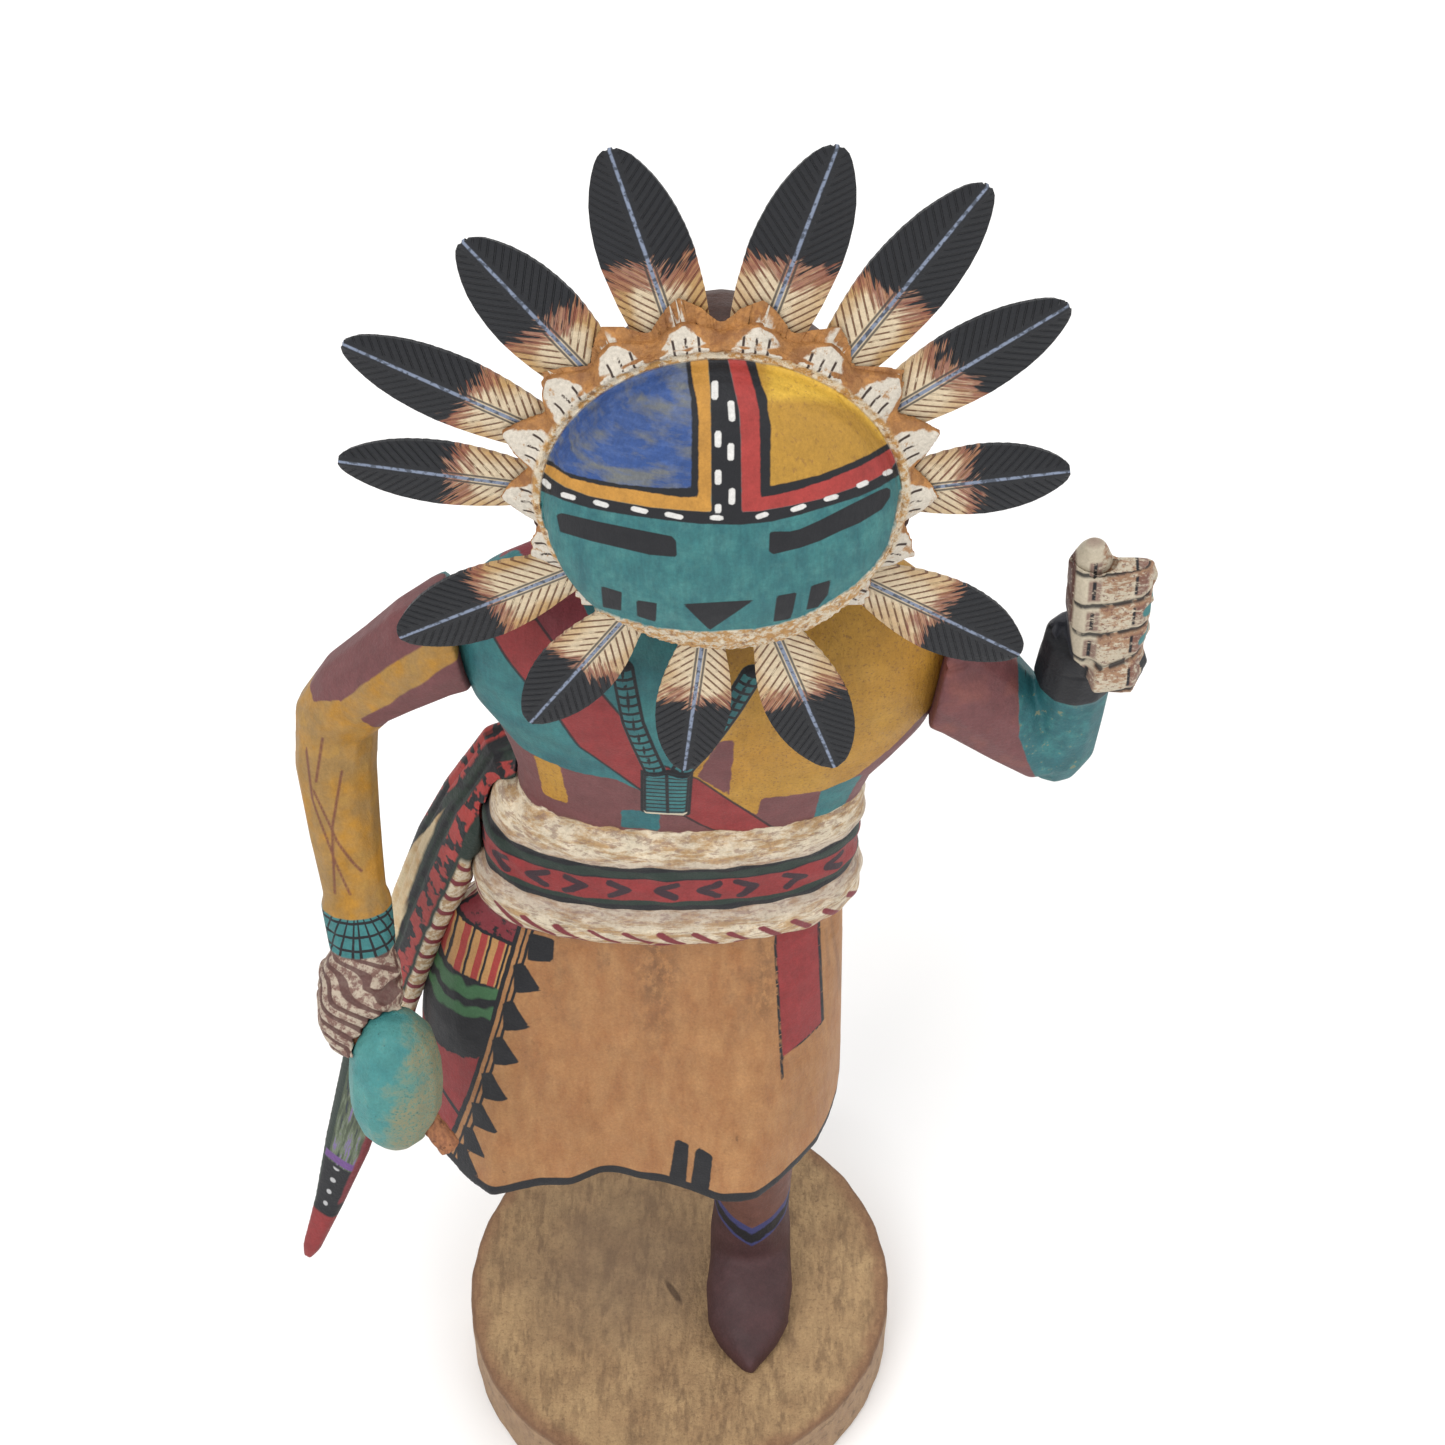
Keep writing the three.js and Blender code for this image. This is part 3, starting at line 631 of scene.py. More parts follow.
def figure_paint():
    p = Paint("figure_paint")
    colour = leg_coats(p, kilt_coats(p, belt_coats(p, torso_coats(p))))
    fine = p.noise(0.5, 3, 0.6) * 0.35 + wood_fibre(p, 1.2) * 0.6
    lumps = p.noise(6, 2) * 0.8
    rough = 0.5 + p.noise(4, 3) * 0.25
    return p.finish(colour, rough, fine + lumps, 0.32)


# The head

# Where the camera stands, then the middles and tilts of the face and of the ring of feathers.
EYE = (10.2, -364.35, 706.4)
HEAD = Vector((10, -14, 312))
HEAD_TILT = math.radians(8.5)
FAN = Vector((10, -11.2, 304.5))
FAN_TILT = math.radians(10)
FACE_RADIUS = 28.6
PETALS = 17


def tilted(points, middle, tilt):
    """Right, up and out from a tilted plane's middle."""
    x, y, z = (points - np.array(middle)).T
    return x, y * math.sin(tilt) + z * math.cos(tilt), -y * math.cos(tilt) + z * math.sin(tilt)


def untilted(u, v, w, middle, tilt):
    x = u
    y = v * math.sin(tilt) - w * math.cos(tilt)
    z = v * math.cos(tilt) + w * math.sin(tilt)
    return np.stack([x, y, z], axis=1) + np.array(middle)


def dome_height(u, v):
    s = np.zeros(len(u))
    for _ in range(12):
        r = np.hypot(u, v + 2.4 + 3 * s * s)
        s = 0.5 * s + 0.5 * np.clip(1 - (r / FACE_RADIUS) ** 2, 0, 1) ** (1 / 2.3)
    return 13.5 * s


def seen(u, v, w):
    """Where the painter's eye, above and in front, sets a point of the dome on the flat of the face."""
    (eye_u,), (eye_v,), (eye_w,) = tilted(np.array([EYE]), HEAD, HEAD_TILT)
    reach = eye_w / (eye_w - w)
    return eye_u + (u - eye_u) * reach, eye_v + (v - eye_v) * reach


BLUE_FIELD = [
    (-5.7, 30), (-5.1, 21.3), (-4.7, 18.4), (-4.6, 14.4), (-4.8, 0.6), (-9.8, 0.6), (-16.1, 1.4), (-20.9, 2.5),
    (-24.8, 3.9), (-26.8, 6.1), (-40, 12), (-40, 40),
]
BLUE_LINE = [
    (-5.1, 30), (-4.5, 22.7), (-3.8, 18.4), (-3.5, 14.4), (-3.7, -1.3), (-6.6, -1.3), (-13, 0), (-19.3, 1.2),
    (-24, 2.7), (-26.8, 5.1), (-40, 10), (-40, 40),
]
OCHRE_EDGE = [
    (-1.6, -4.4), (-6.6, -4), (-11.4, -3.4), (-16.2, -2.3), (-21, -1.1), (-24.9, 0.8), (-26.9, 2.5), (-28.6, 4.5),
    (-40, 12),
]
BAND_FOOT = [
    (-40, 1.6), (-28.7, 0), (-25, -2.1), (-21, -3.6), (-16.2, -4.8), (-11.4, -5.7), (-6.6, -6.5), (-3.4, -6.9),
    (3, -7.1), (7.8, -6.5), (12.6, -5), (17.4, -3.1), (22.2, -1.1), (25.3, 0.8), (27.8, 2.9), (40, 14),
]
RED_FOOT = [
    (3.3, -4.4), (6.2, -4.2), (11, -3.1), (15.8, -1.7), (20.5, 0.4), (23.7, 2), (26.8, 4.3), (27.8, 6.3), (40, 18),
]
RED_SIDE = [(0.7, 40), (0.7, 28.1), (2.1, 20.4), (2.8, 16.4), (3.1, 10.4)]
CORNER_FOOT = [
    (6.3, -1.3), (8.7, -0.9), (12.6, 0.4), (17.3, 2.5), (22, 5.1), (25.1, 7.4), (27.1, 9), (40, 21),
]
CORNER_SIDE = [(3.2, 40), (3.2, 28.1), (5.2, 20.4), (5.9, 16.4), (6.1, 10.4)]
YELLOW_FIELD = [
    (4.7, 40), (4.7, 28.1), (6.3, 21.3), (7.1, 19), (7.3, 16.4), (7.8, 13.4), (7.8, 1), (10.9, 1.8), (15.7, 3.3),
    (20.4, 5.7), (23.5, 7.6), (26.3, 9.8), (40, 24), (40, 40),
]
# The band of the yellow field near the face's upper right rim, where the yellow gets a painted highlight on the
# dome's slope.
BEVEL_HIGHLIGHT = [
    (7.2, 30), (7.3, 18.4), (12.3, 18.6), (17.7, 18), (21.4, 16), (24.9, 11.2), (30, 9), (30, 30),
]
LEFT_EYE = [
    (-26.5, -5), (-25.6, -4.6), (-19.5, -6.5), (-13.1, -8.2), (-8, -9.5), (-7.3, -10.5), (-7.2, -14),
    (-11.6, -13.5), (-16.4, -12), (-21.2, -10.5), (-26, -8.6),
]
RIGHT_EYE = [
    (7.8, -8.5), (11.1, -8.5), (12.7, -8), (15.9, -6.1), (20.6, -2.9), (25.3, 0.2), (26.4, 0.7), (27, 0.3),
    (27, -1.3), (26.5, -2.3), (25.8, -3.8), (22.3, -6.7), (19.1, -8.5), (16, -10.5), (12.8, -12), (8.4, -13.4),
    (7.7, -12.7),
]
MOUTH = [(-6.3, -24.2), (5.4, -23.3), (2.3, -26.2), (-1.9, -30), (-3.5, -28)]
CHEEK_BARS = [
    [(-19.7, -20.2), (-16.3, -21.6), (-16.5, -25.7), (-19.5, -24.9)],
    [(-14, -23.3), (-10.6, -24), (-10.8, -28.2), (-13.9, -26.9)],
    [(9.1, -22.4), (12.4, -21.6), (11.8, -26), (11.4, -27.5), (8.6, -28.2)],
    [(14.7, -20.2), (17.9, -18.9), (17.5, -22.2), (15.9, -24.9), (14, -25.5)],
]
CHIN = [
    (-40, 0), (-29, -1.9), (-28.7, -6.1), (-27.7, -11.4), (-26.3, -16.3), (-24, -21.1), (-21.6, -24.6),
    (-16.5, -27.2), (-10.8, -29.4), (-6.8, -30), (-3.5, -30.4), (4.8, -29.8), (8.9, -28.9), (13, -27.1),
    (16.3, -24.9), (19.5, -22.2), (22.2, -19.6), (25, -15.7), (27, -11.4), (27.9, -6.1), (28.5, 0.2), (40, 3),
    (40, 60), (-40, 60),
]
UPRIGHT_DASHES = [((-1, 21.9), (-1, 18.9)), ((-0.5, 11.8), (-0.5, 9.4)), ((-0.5, 3.9), (-0.5, 1.7)),
                  ((-0.5, -3.2), (-0.5, -4.2)), ((1.5, 17.8), (1.7, 14.6)), ((1.5, 9.3), (1.5, 6.7)),
                  ((1.7, 0.1), (1.7, -2.4))]
LEVEL_DASHES = [((-28.2, 2), (-27.4, 0.9)), ((-25.2, -0.8), (-23.7, -1.4)), ((-20, -2.4), (-18.5, -3)),
                ((-14, -3.7), (-12.2, -4.3)), ((-8.6, -4.9), (-6.6, -5.5)), ((-1.4, -5.6), (-0.1, -5.7)),
                ((6, -5.4), (7.1, -4.9)), ((11.6, -3.9), (13.1, -3.2)), ((16.9, -1.7), (18.3, -1.2)),
                ((22, 1.1), (23, 1.7)), ((26.1, 3.6), (26.7, 4))]


def paint_face(piece, u, v, w):
    u, v = seen(u, v, w)
    lay(piece, "blue", area(u, v, BLUE_FIELD))
    lay(piece, "blue_line", area(u, v, BLUE_LINE))
    lay(piece, "ochre", area(u, v, [(-2.2, 40), (-2.2, 28.1), (-1.7, 20.4), (-1.6, 10.4)] + OCHRE_EDGE + [(-40, 40)]))
    bars = BAND_FOOT + RED_FOOT[::-1] + RED_SIDE[::-1] + [(-2.2, 40), (-2.2, 28.1), (-1.7, 20.4)] + OCHRE_EDGE
    lay(piece, "dark_bars", area(u, v, bars))
    lay(piece, "red_face", area(u, v, RED_SIDE + RED_FOOT + [(40, 40)]))
    lay(piece, "dark_corner", area(u, v, CORNER_SIDE + CORNER_FOOT + [(40, 40)]))
    lay(piece, "yellow_face", area(u, v, YELLOW_FIELD))
    lay(piece, "bevel", area(u, v, BEVEL_HIGHLIGHT))
    lay(piece, "slots", union(*(area(u, v, shape) for shape in [LEFT_EYE, RIGHT_EYE, MOUTH] + CHEEK_BARS)))
    lay(piece, "dashes", union(*(stroke(u, v, [a, b]) for a, b in UPRIGHT_DASHES + LEVEL_DASHES)))


def make_head():
    piece = carved("head", "carved_head", 0.5, 3)
    points = spots(piece)
    u, v, w = tilted(points, HEAD, HEAD_TILT)
    height = dome_height(u, v)
    inner = np.hypot(u, v + 2.4) < 27.6
    face = inner & (w > 0.2)
    w = np.where(face, height, w)
    r = np.hypot(u, v + 2.4)
    turn = np.arctan2(-u, v)
    rim = np.clip(1 - np.abs(np.hypot(u, v + 1.2) - 29.7) / 1.1, 0, 1)
    ragged = 0.6 + 0.4 * np.sin(turn * 61) * np.sin(turn * 23 + 1)
    w = w + np.where((w > -2) & ~face, 0.9 * rim * ragged, 0)
    reshape(piece, untilted(u, v, w, HEAD, HEAD_TILT))
    long_reach = np.hypot(u, v + 1.2)
    crown = np.clip(1.6 - np.abs(np.degrees(turn)) / 40, 0, 1) * (w < 3) * (w > -3.2)
    trim = 1 - 0.55 * crown * np.maximum(long_reach - 29.6, 0) / long_reach
    u, v = u * trim, (v + 1.2) * trim - 1.2
    reshape(piece, untilted(u, v, w, HEAD, HEAD_TILT))
    chin = area(*seen(u, v, w), CHIN)
    below = (chin > 0) & (w > 0) & (r < 29)
    crumbs = 0.5 + 0.5 * np.sin(u * 3.1 + 2 * np.sin(w * 2)) * np.sin(w * 3.3 + v)
    push(piece, np.where(below, 0.5 * crumbs - 0.8 * np.clip(chin / 1.5, 0, 1), 0))
    back = tilted(spots(piece), FAN, FAN_TILT)
    draw = 1 - 0.15 * rise(-back[2], 1, 4) * np.clip((back[1] + 6) / 16, 0, 1)
    deep = np.where(back[2] < -1, -1 + (back[2] + 1) * (0.3 + 0.7 * draw), back[2])
    reshape(piece, untilted(back[0] * draw, back[1] * draw, deep, FAN, FAN_TILT))
    u, v, w = tilted(spots(piece), HEAD, HEAD_TILT)
    normals = outward(piece)
    facing = normals @ np.array([0, -math.cos(HEAD_TILT), math.sin(HEAD_TILT)])
    fan = tilted(spots(piece), FAN, FAN_TILT)
    paint_face(piece, u, v, w)
    lay(piece, "face", np.maximum(np.maximum(r - 28.9, -(w + 0.1) * 2), chin))
    lay(piece, "rim", np.hypot(u, v + 1.2) - 28.9 + np.clip(1.6 - np.abs(np.degrees(turn)) / 50, 0, 1))
    pitch = 2 * math.pi * 31 / PETALS
    place = ((turn * PETALS / (2 * math.pi)) % 1 - 0.5) * pitch
    low = np.clip((np.abs(np.degrees(turn)) - 95) / 30, 0, 1)
    lean = place * np.sign(turn)
    taper = np.maximum(long_reach - 30, 0) * 0.5
    lay(piece, "petal_white", np.maximum(-lean - (3.7 + 2 * low - taper), lean - (4.7 + 1 * low - taper)))
    lay(piece, "petal_side", np.abs(place))
    lay(piece, "facing", facing)
    lay(piece, "behind", fan[2])
    lay(piece, "spread", np.hypot(fan[0], fan[1]))
    stand_for(piece, "head", head_paint(), 35)


def head_paint():
    p = Paint("head_paint")
    wobble = (p.noise(1.2, 2) - 0.5) * 0.4
    fibres = p.noise(0.7, 3, 0.6, p.stretch(1, 1, 0.16))
    streak = p.noise(2.2, 3, 0.6, p.stretch(1, 1, 0.3))
    turquoise = p.mix(streak.above(0.5, 0.4), TURQUOISE_DEEP, TURQUOISE)
    turquoise = p.mix(p.noise(5, 4, 0.7).above(0.6, 0.25) * 0.35, turquoise, tint("5a9088"))
    turquoise = p.tone(turquoise, 0.76 + fibres * 0.45)
    dusty = p.noise(1, 4, 0.65, p.stretch(0.1, 0.1, 0.3))
    blue = p.mix(dusty.above(0.52, 0.16) * 0.65, BLUE, OLIVE)
    blue = p.mix(p.noise(1, 3, 0.6, p.stretch(0.2, 0.5, 0.9)).above(0.56, 0.2) * 0.45, blue, tint("50699f"))
    blue = p.tone(p.mix(p.noise(6, 2).above(0.5, 0.4) * 0.4, blue, BLUE_DEEP), 0.78 + fibres * 0.45)
    # Painted highlight: the yellow is brightened over the face's upper right slope near the rim.
    yellow = p.mix(p.value("bevel").below(0, 2) * 0.8, YELLOW, YELLOW_HIGHLIGHT)
    yellow = p.mix(p.noise(0.8, 3, 0.7, p.stretch(1, 1, 0.3)).below(0.38, 0.08) * 0.4, yellow, STAIN_BROWN)
    yellow = p.tone(yellow, 0.82 + fibres * 0.35)
    wood = p.mix(p.noise(2.5, 4, 0.65).above(0.52, 0.2), RAW_WOOD, tint("b88148"))
    wood = p.mix(p.noise(3.5, 4, 0.7).above(0.56, 0.1) * 0.7, wood, tint("8a5a35"))
    petal = p.mix(p.noise(2.6, 5, 0.75).above(0.6, 0.08) * 0.85, PETAL_WHITE, tint("a8773f"))
    petal = p.tone(petal, 0.8 + p.noise(0.6, 2) * 0.4)
    rim, side = p.value("rim"), p.value("petal_side")
    ticks = side.below(0.22, 0.14) | abs(side - 2.1).below(0.22, 0.14)
    ticks = ticks * abs(rim - 2.3 - (p.noise(2) - 0.5)).below(1.05, 0.3)
    edge = p.mix(p.noise(1.8, 4, 0.7).above(0.5, 0.12), tint("b98c52"), CREAM)
    edge = p.mix(p.noise(1.1, 3).above(0.63, 0.06) * 0.7, edge, tint("7d5230"))
    front = p.value("facing").above(0.6, 0.1)
    white = p.value("petal_white").below((p.noise(1.5, 3) - 0.5) * 1.6, 0.3)
    behind = p.value("behind")
    back = p.mix(p.value("spread").above(24.5, 0.4), turquoise, worn(p, DISC_BROWN, 0.4))
    face = p.value("face").below(0.0, 0.3)
    painted = p.layers(
        turquoise,
        (p.value("dark_bars").below(wobble * 0.5), BLACK),
        (p.value("ochre").below(wobble * 0.4), worn(p, OCHRE, 0.3)),
        (p.value("blue_line").below(wobble), BLACK),
        (p.value("blue").below(wobble), blue),
        (p.value("red_face").below(wobble * 0.4), worn(p, FACE_RED, 0.3)),
        (p.value("dark_corner").below(wobble), BLACK),
        (p.value("yellow_face").below(wobble * 0.6), yellow),
        (p.value("slots").below(0.0, 0.2), BLACK),
        (p.value("dashes").below(0.52 + wobble * 0.3, 0.2), WHITE),
    )
    colour = p.layers(
        wood,
        (front * white, petal),
        (front * white * ticks, tint("3a2a22")),
        (rim.below(1.3, 0.5) * p.value("face").above(0.0), edge),
        (face, painted),
        (behind.below(-0.5, 0.3), back),
    )
    rough = 0.48 + p.noise(3, 3) * 0.3
    carve = fibres * 0.5 + p.noise(1.4, 3, 0.6) * (1 - face) * 1.6
    return p.finish(colour, rough, carve, 0.3)


# Feathers

# Degrees from upright, reach of the tip from the fan's middle, greatest width.
FEATHERS = [
    (-13.6, 70.5, 15), (14, 71.2, 15), (32.6, 73.9, 14), (52.8, 67.1, 13.6), (81.5, 56.6, 14), (121.5, 58.9, 15.4),
    (160.9, 60.1, 15), (186.4, 57.9, 13), (215.3, 56.7, 13.8), (243.4, 60.3, 15), (279.6, 62.2, 12.6),
    (299.6, 67.6, 13), (323.2, 65.3, 15),
]
# The two feathers at the top lean together at the root.
ROOT_SHIFT = {1: 1.5, 2: -2.6}
FEATHER_ROOT = 22.5
BARB = 1.7
ROWS, COLUMNS = 120, 40


def make_feather(number, degrees, tip, width):
    """A grid bent into a leaf outline, carved with a quill and slanting barbs, and given its thickness."""
    deselect()
    bpy.ops.mesh.primitive_grid_add(x_subdivisions=COLUMNS, y_subdivisions=ROWS, size=2)
    piece = bpy.context.object
    piece.name = piece.data.name = f"carved_feather_{number:02d}"
    flat = spots(piece) * MM
    across, share = flat[:, 0], (flat[:, 1] + 1) / 2
    length = tip - FEATHER_ROOT
    stations = [0, 0.12, 0.24, 0.33, 0.42, 0.5, 0.58, 0.66, 0.74, 0.81, 0.87, 0.92, 0.96, 0.985, 1]
    widths = [0.38, 0.52, 0.68, 0.81, 0.91, 0.97, 1, 0.975, 0.91, 0.81, 0.68, 0.54, 0.4, 0.28, 0.14]
    half = np.interp(share, stations, widths) * width / 2 * 0.985
    if number in ROOT_SHIFT:
        half *= 1 + 0.14 * np.clip(1.2 - share * 2.4, 0, 1)
    along = share * length
    slant = along - np.abs(across) * half
    depth = np.clip(np.abs(across) * half - 0.7, 0, 1) * np.clip((1 - np.abs(across)) * half / 0.8, 0.25, 1)
    barbs = 0.5 + 0.5 * np.cos(2 * math.pi * slant / BARB)
    cut = 0.13 * barbs ** 4 * depth
    crown = 0.88 - 0.42 * np.abs(across) ** 2.2
    quill = 0.3 * np.clip(1 - np.abs(across) * half / 0.75, 0, 1)
    side = across * half
    shift = ROOT_SHIFT.get(number, 0) * (1 - share)
    level = np.minimum(crown - cut + quill, 0.9)
    turn = math.radians(degrees)
    reach = FEATHER_ROOT + along * 0.995
    u = reach * math.sin(turn) + (side + shift) * math.cos(turn)
    v = reach * math.cos(turn) - (side + shift) * math.sin(turn)
    reshape(piece, untilted(u, v, level, FAN, FAN_TILT))
    lay(piece, "along", along)
    lay(piece, "across", side)
    choose(piece)
    wall = piece.modifiers.new("wall", "SOLIDIFY")
    wall.thickness = 0.9 * MM
    wall.offset = -1
    bpy.ops.object.modifier_apply(modifier="wall")
    flatten_back(piece)
    return piece


def flatten_back(piece):
    """Keeps the back of a feather inside its slot."""
    points = spots(piece)
    u, v, w = tilted(points, FAN, FAN_TILT)
    reshape(piece, untilted(u, v, np.clip(w, -0.88, 0.88), FAN, FAN_TILT))


def make_feathers():
    for number, (degrees, tip, width) in enumerate(FEATHERS, 1):
        piece = make_feather(number, degrees, tip, width)
        paint = feather_paint(number, tip - FEATHER_ROOT)
        stand_for(piece, f"feather_{number:02d}", paint, 60)


GOLDEN = (1, 3, 10, 11, 12, 13)


def feather_paint(number, length):
    p = Paint(f"feather_paint_{number:02d}")
    along, across = p.value("along"), p.value("across")
    slant = along - abs(across)
    place = p.place(along, across, number * 7.3)
    streak_at = p.place(slant * 1.6, across * 0.22, number * 3.1)
    ragged = (p.noise(1, 2, 0.6, streak_at) - 0.5) * 9 + (p.noise(5, 2, 0.5, place) - 0.5) * 7
    black = (along + ragged).above(length * 0.55, 0.7)
    rust = (along + ragged * 1.1).above(length * 0.48, 2)
    barb = abs((slant % BARB) - BARB / 2).above(BARB / 2 - 0.19, 0.14)
    broken = p.noise(2.2, 2, 0.5, place).above(0.4, 0.1)
    warm = (abs(across) + (p.noise(5, 2, 0.5, place) - 0.5) * 7).above(4.2, 2.5)
    base = p.mix(warm * (0.9 if number in GOLDEN else 0.55), FEATHER_CREAM, FEATHER_TAN)
    base = p.tone(base, 0.78 + p.noise(0.8, 3, 0.6, place) * 0.4)
    outside = abs(across).above(1.1, 0.4)
    quill = abs(across)
    # Painted highlight: the quill ridge gets a pale blue-grey sheen, broken by noise and narrowing towards the tip.
    shine = p.mix(p.noise(0.9, 2, 0.5, place).above(0.45, 0.1), tint("4a5260"), QUILL_SHEEN)
    colour = p.layers(
        base,
        (barb * broken * outside * 0.9, BURNT),
        (rust * 0.85, p.mix(p.noise(0.8, 2, 0.6, streak_at).above(0.52, 0.12), FEATHER_RED, tint("9c6a4c"))),
        (black, p.mix(barb * outside * 0.4, FEATHER_BLACK, tint("15161a"))),
        (abs(quill - 0.72).below(0.2, 0.15) * (1 - black) * 0.85, tint("33302f")),
        (quill.below(0.36 * (1.15 - along / length * 0.5), 0.2), shine),
    )
    height = barb * outside * -1 + p.noise(0.6, 2, 0.5, place) * 0.5
    return p.finish(colour, 0.5, height, 0.2)


# Arms

def turn_about(points, start, end, front=(0, -1, 0)):
    """Angle round a straight axis: 0 at the front, 90 on top."""
    start, end = np.array(start), np.array(end)
    run = (end - start) / np.linalg.norm(end - start)
    ahead = np.array(front) - np.dot(front, run) * run
    ahead /= np.linalg.norm(ahead)
    top = np.cross(run, ahead)
    if top[2] < 0:
        top = -top
    offset = points - start
    return np.degrees(np.arctan2(offset @ top, offset @ ahead)), offset @ run


def seat(piece, spot, way):
    """Closes an arm's cut face on the shoulder."""
    points = spots(piece)
    way = np.array(way) / np.linalg.norm(way)
    near = np.clip(1 - (points - np.array(spot)) @ way / 2.5, 0, 1)
    reshape(piece, points - 0.8 * near[:, None] * way)


# Lower and upper edge of the bracelet, as carved in the solid and as worn.
BRACELET_SOLID = (177.6, 188.2)
BRACELET = (175.4, 184)
WRIST_TILT = 0.45


def make_right_arm():
    piece = carved("right_arm", "carved_right_arm", 0.42, 16)
    points = spots(piece)
    x, y, z = points.T
    fist = fall(z, 177, 2) * (y < -4)
    slope = z * 0.82 + x * 0.5 + 0.9 * np.sin(y * 0.8)
    grooves = 0.5 + 0.5 * np.cos(2 * math.pi * slope / 2.7)
    bead = (z > 178) & (z < 188)
    push(piece, -0.55 * fist * grooves ** 3 - 0.12 * bead * (np.cos(z * 1.9) > 0.6))
    points = spots(piece)
    level = points[:, 2] + (points[:, 1] + 7) * WRIST_TILT
    points[:, 2] += np.interp(level, [170, *BRACELET_SOLID, 198], [170, *BRACELET, 198]) - np.clip(level, 170, 198)
    reshape(piece, points)
    x, y, z = points.T
    angle, _ = turn_about(spots(piece), (-36, 8, 250.6), (-61.6, 12.6, 220))
    lay(piece, "angle", angle)
    seat(piece, (-36.2, 4, 246), (-1, -0.1, -0.15))
    lay(piece, "grooves", grooves)
    forearm = [(-90, 229.5), (-65, 229), (-59.5, 234), (-56, 231.6), (-52.8, 223.6), (-40, 220), (-40, 150),
               (-90, 150)]
    lay(piece, "forearm", area(x, z, forearm))
    low = z > 189
    scratches = union(
        stroke(x, z, [(-67.4, 222), (-66.6, 208), (-60.4, 190.6)]),
        stroke(x, z, [(-60.6, 214.5), (-63, 204), (-63.4, 190)]),
        stroke(x, z, [(-63.6, 222), (-65.6, 212)]), stroke(x, z, [(-66.2, 210), (-62, 201), (-58, 195)]),
    )
    lay(piece, "scratches", np.where(low & (y < 6), scratches, 9))
    stand_for(piece, "right_arm", right_arm_paint())


def right_arm_paint():
    p = Paint("right_arm_paint")
    wobble = (p.noise(2, 2) - 0.5) * 0.8
    angle = p.value("angle") + (p.noise(5) - 0.5) * 7
    maroon = worn(p, MAROON, 0.3)
    yellow = p.mix(p.noise(7, 3, 0.6).above(0.46, 0.2) * 0.65, CHEST_YELLOW, tint("8f7750"))
    yellow = worn(p, p.mix(p.noise(3.5, 2).above(0.6, 0.12) * 0.4, yellow, YELLOW), 0.3)
    turquoise = worn(p, TURQUOISE, 0.4)
    grooves = p.value("grooves")
    hand = p.mix(p.noise(1.6, 4, 0.7).above(0.5, 0.12) * 0.85, tint("bbab98"), HAND_BROWN)
    hand = p.mix(grooves.above(0.62, 0.14) * 0.9, hand, tint("5f3f3a"))
    around = p.math("ARCTAN2", p.x + 59.6, p.y + 8) * 6.6
    grid = abs((around % 2.5) - 1.25).above(0.98, 0.12)
    grid = grid | abs(((p.z + p.y * WRIST_TILT) % 3) - 1.5).above(1.2, 0.12)
    level = p.z + (p.y + 7) * WRIST_TILT
    foot, top = BRACELET
    colour = p.layers(
        maroon,
        (angle.above(122, 4), turquoise),
        (abs(angle - 31).below(15, 2), yellow),
        (p.value("forearm").below(wobble), yellow),
        (p.value("scratches").below(0.26, 0.3) * 0.85, tint("6d3a32")),
        (level.below(top, 0.3), turquoise),
        (level.below(top, 0.3) * grid, BLACK),
        (level.below(foot, 0.4), hand),
    )
    height = p.noise(0.6, 3, 0.6) * 0.5 + p.noise(5, 2) * 0.8
    return p.finish(colour, 0.5 + p.noise(3, 2) * 0.2, height, 0.28)


FINGER_ROW = 4.7
FINGER_FOOT = 254.4


def make_left_arm():
    piece = carved("left_arm", "carved_left_arm", 0.42, 14)
    x, y, z = spots(piece).T
    row = (z - FINGER_FOOT - 0.12 * (x - 76)) / FINGER_ROW
    hand = rise(z, 251, 2) * (y < 4.5) * (row < 3.6)
    gap = np.abs((row - 0.5) - np.round(row - 0.5)) * FINGER_ROW
    joints = bell(x, 73.6, 0.5) + bell(x, 81, 0.5)
    push(piece, -0.55 * hand * np.exp(-(gap / 0.45) ** 2) - 0.2 * hand * joints)
    points = spots(piece)
    x, y, z = points.T
    thumb = np.hypot(x - 75 + (z - 266) * 0.13, y - 3.6 + (z - 266) * 0.16)
    palm = rise(thumb, 2.9, 1.6) * rise(z, 254, 8)
    tall = np.where(z < 248, z, np.interp(z, [248, 252, 271, 283], [248, 250.8, 276.6, 277.8]))
    right = rise(x, 74, 3)
    share = rise(thumb, 2.9, 1.2)
    points[:, 1] -= palm * np.maximum(y - 3 + 2 * right, 0) * (0.7 + 0.15 * right)
    points[:, 2] = z + (tall - z) * share
    reshape(piece, points)
    seat(piece, (49.4, 4, 245), (1, -0.1, -0.1))
    x, y, z = spots(piece).T
    lay(piece, "row", row)
    lay(piece, "hand", np.where((y < -4.4) & (x > 70) & (z > 249), 1.0, rise(z, 255.4, 0.6)))
    lay(piece, "gap", np.where(hand > 0.5, gap, 9))
    elbow = [(64, 262), (63, 244), (63.6, 234), (66.4, 224), (71.4, 207), (110, 207), (110, 262)]
    lay(piece, "elbow", area(x, z, elbow))
    dots = union(*(np.hypot(x - dot_x, z - dot_z) for dot_x, dot_z in ((83.6, 268), (83.4, 261.4))))
    lay(piece, "dots", dots + np.maximum(y - 3, 0))
    stand_for(piece, "left_arm", left_arm_paint())


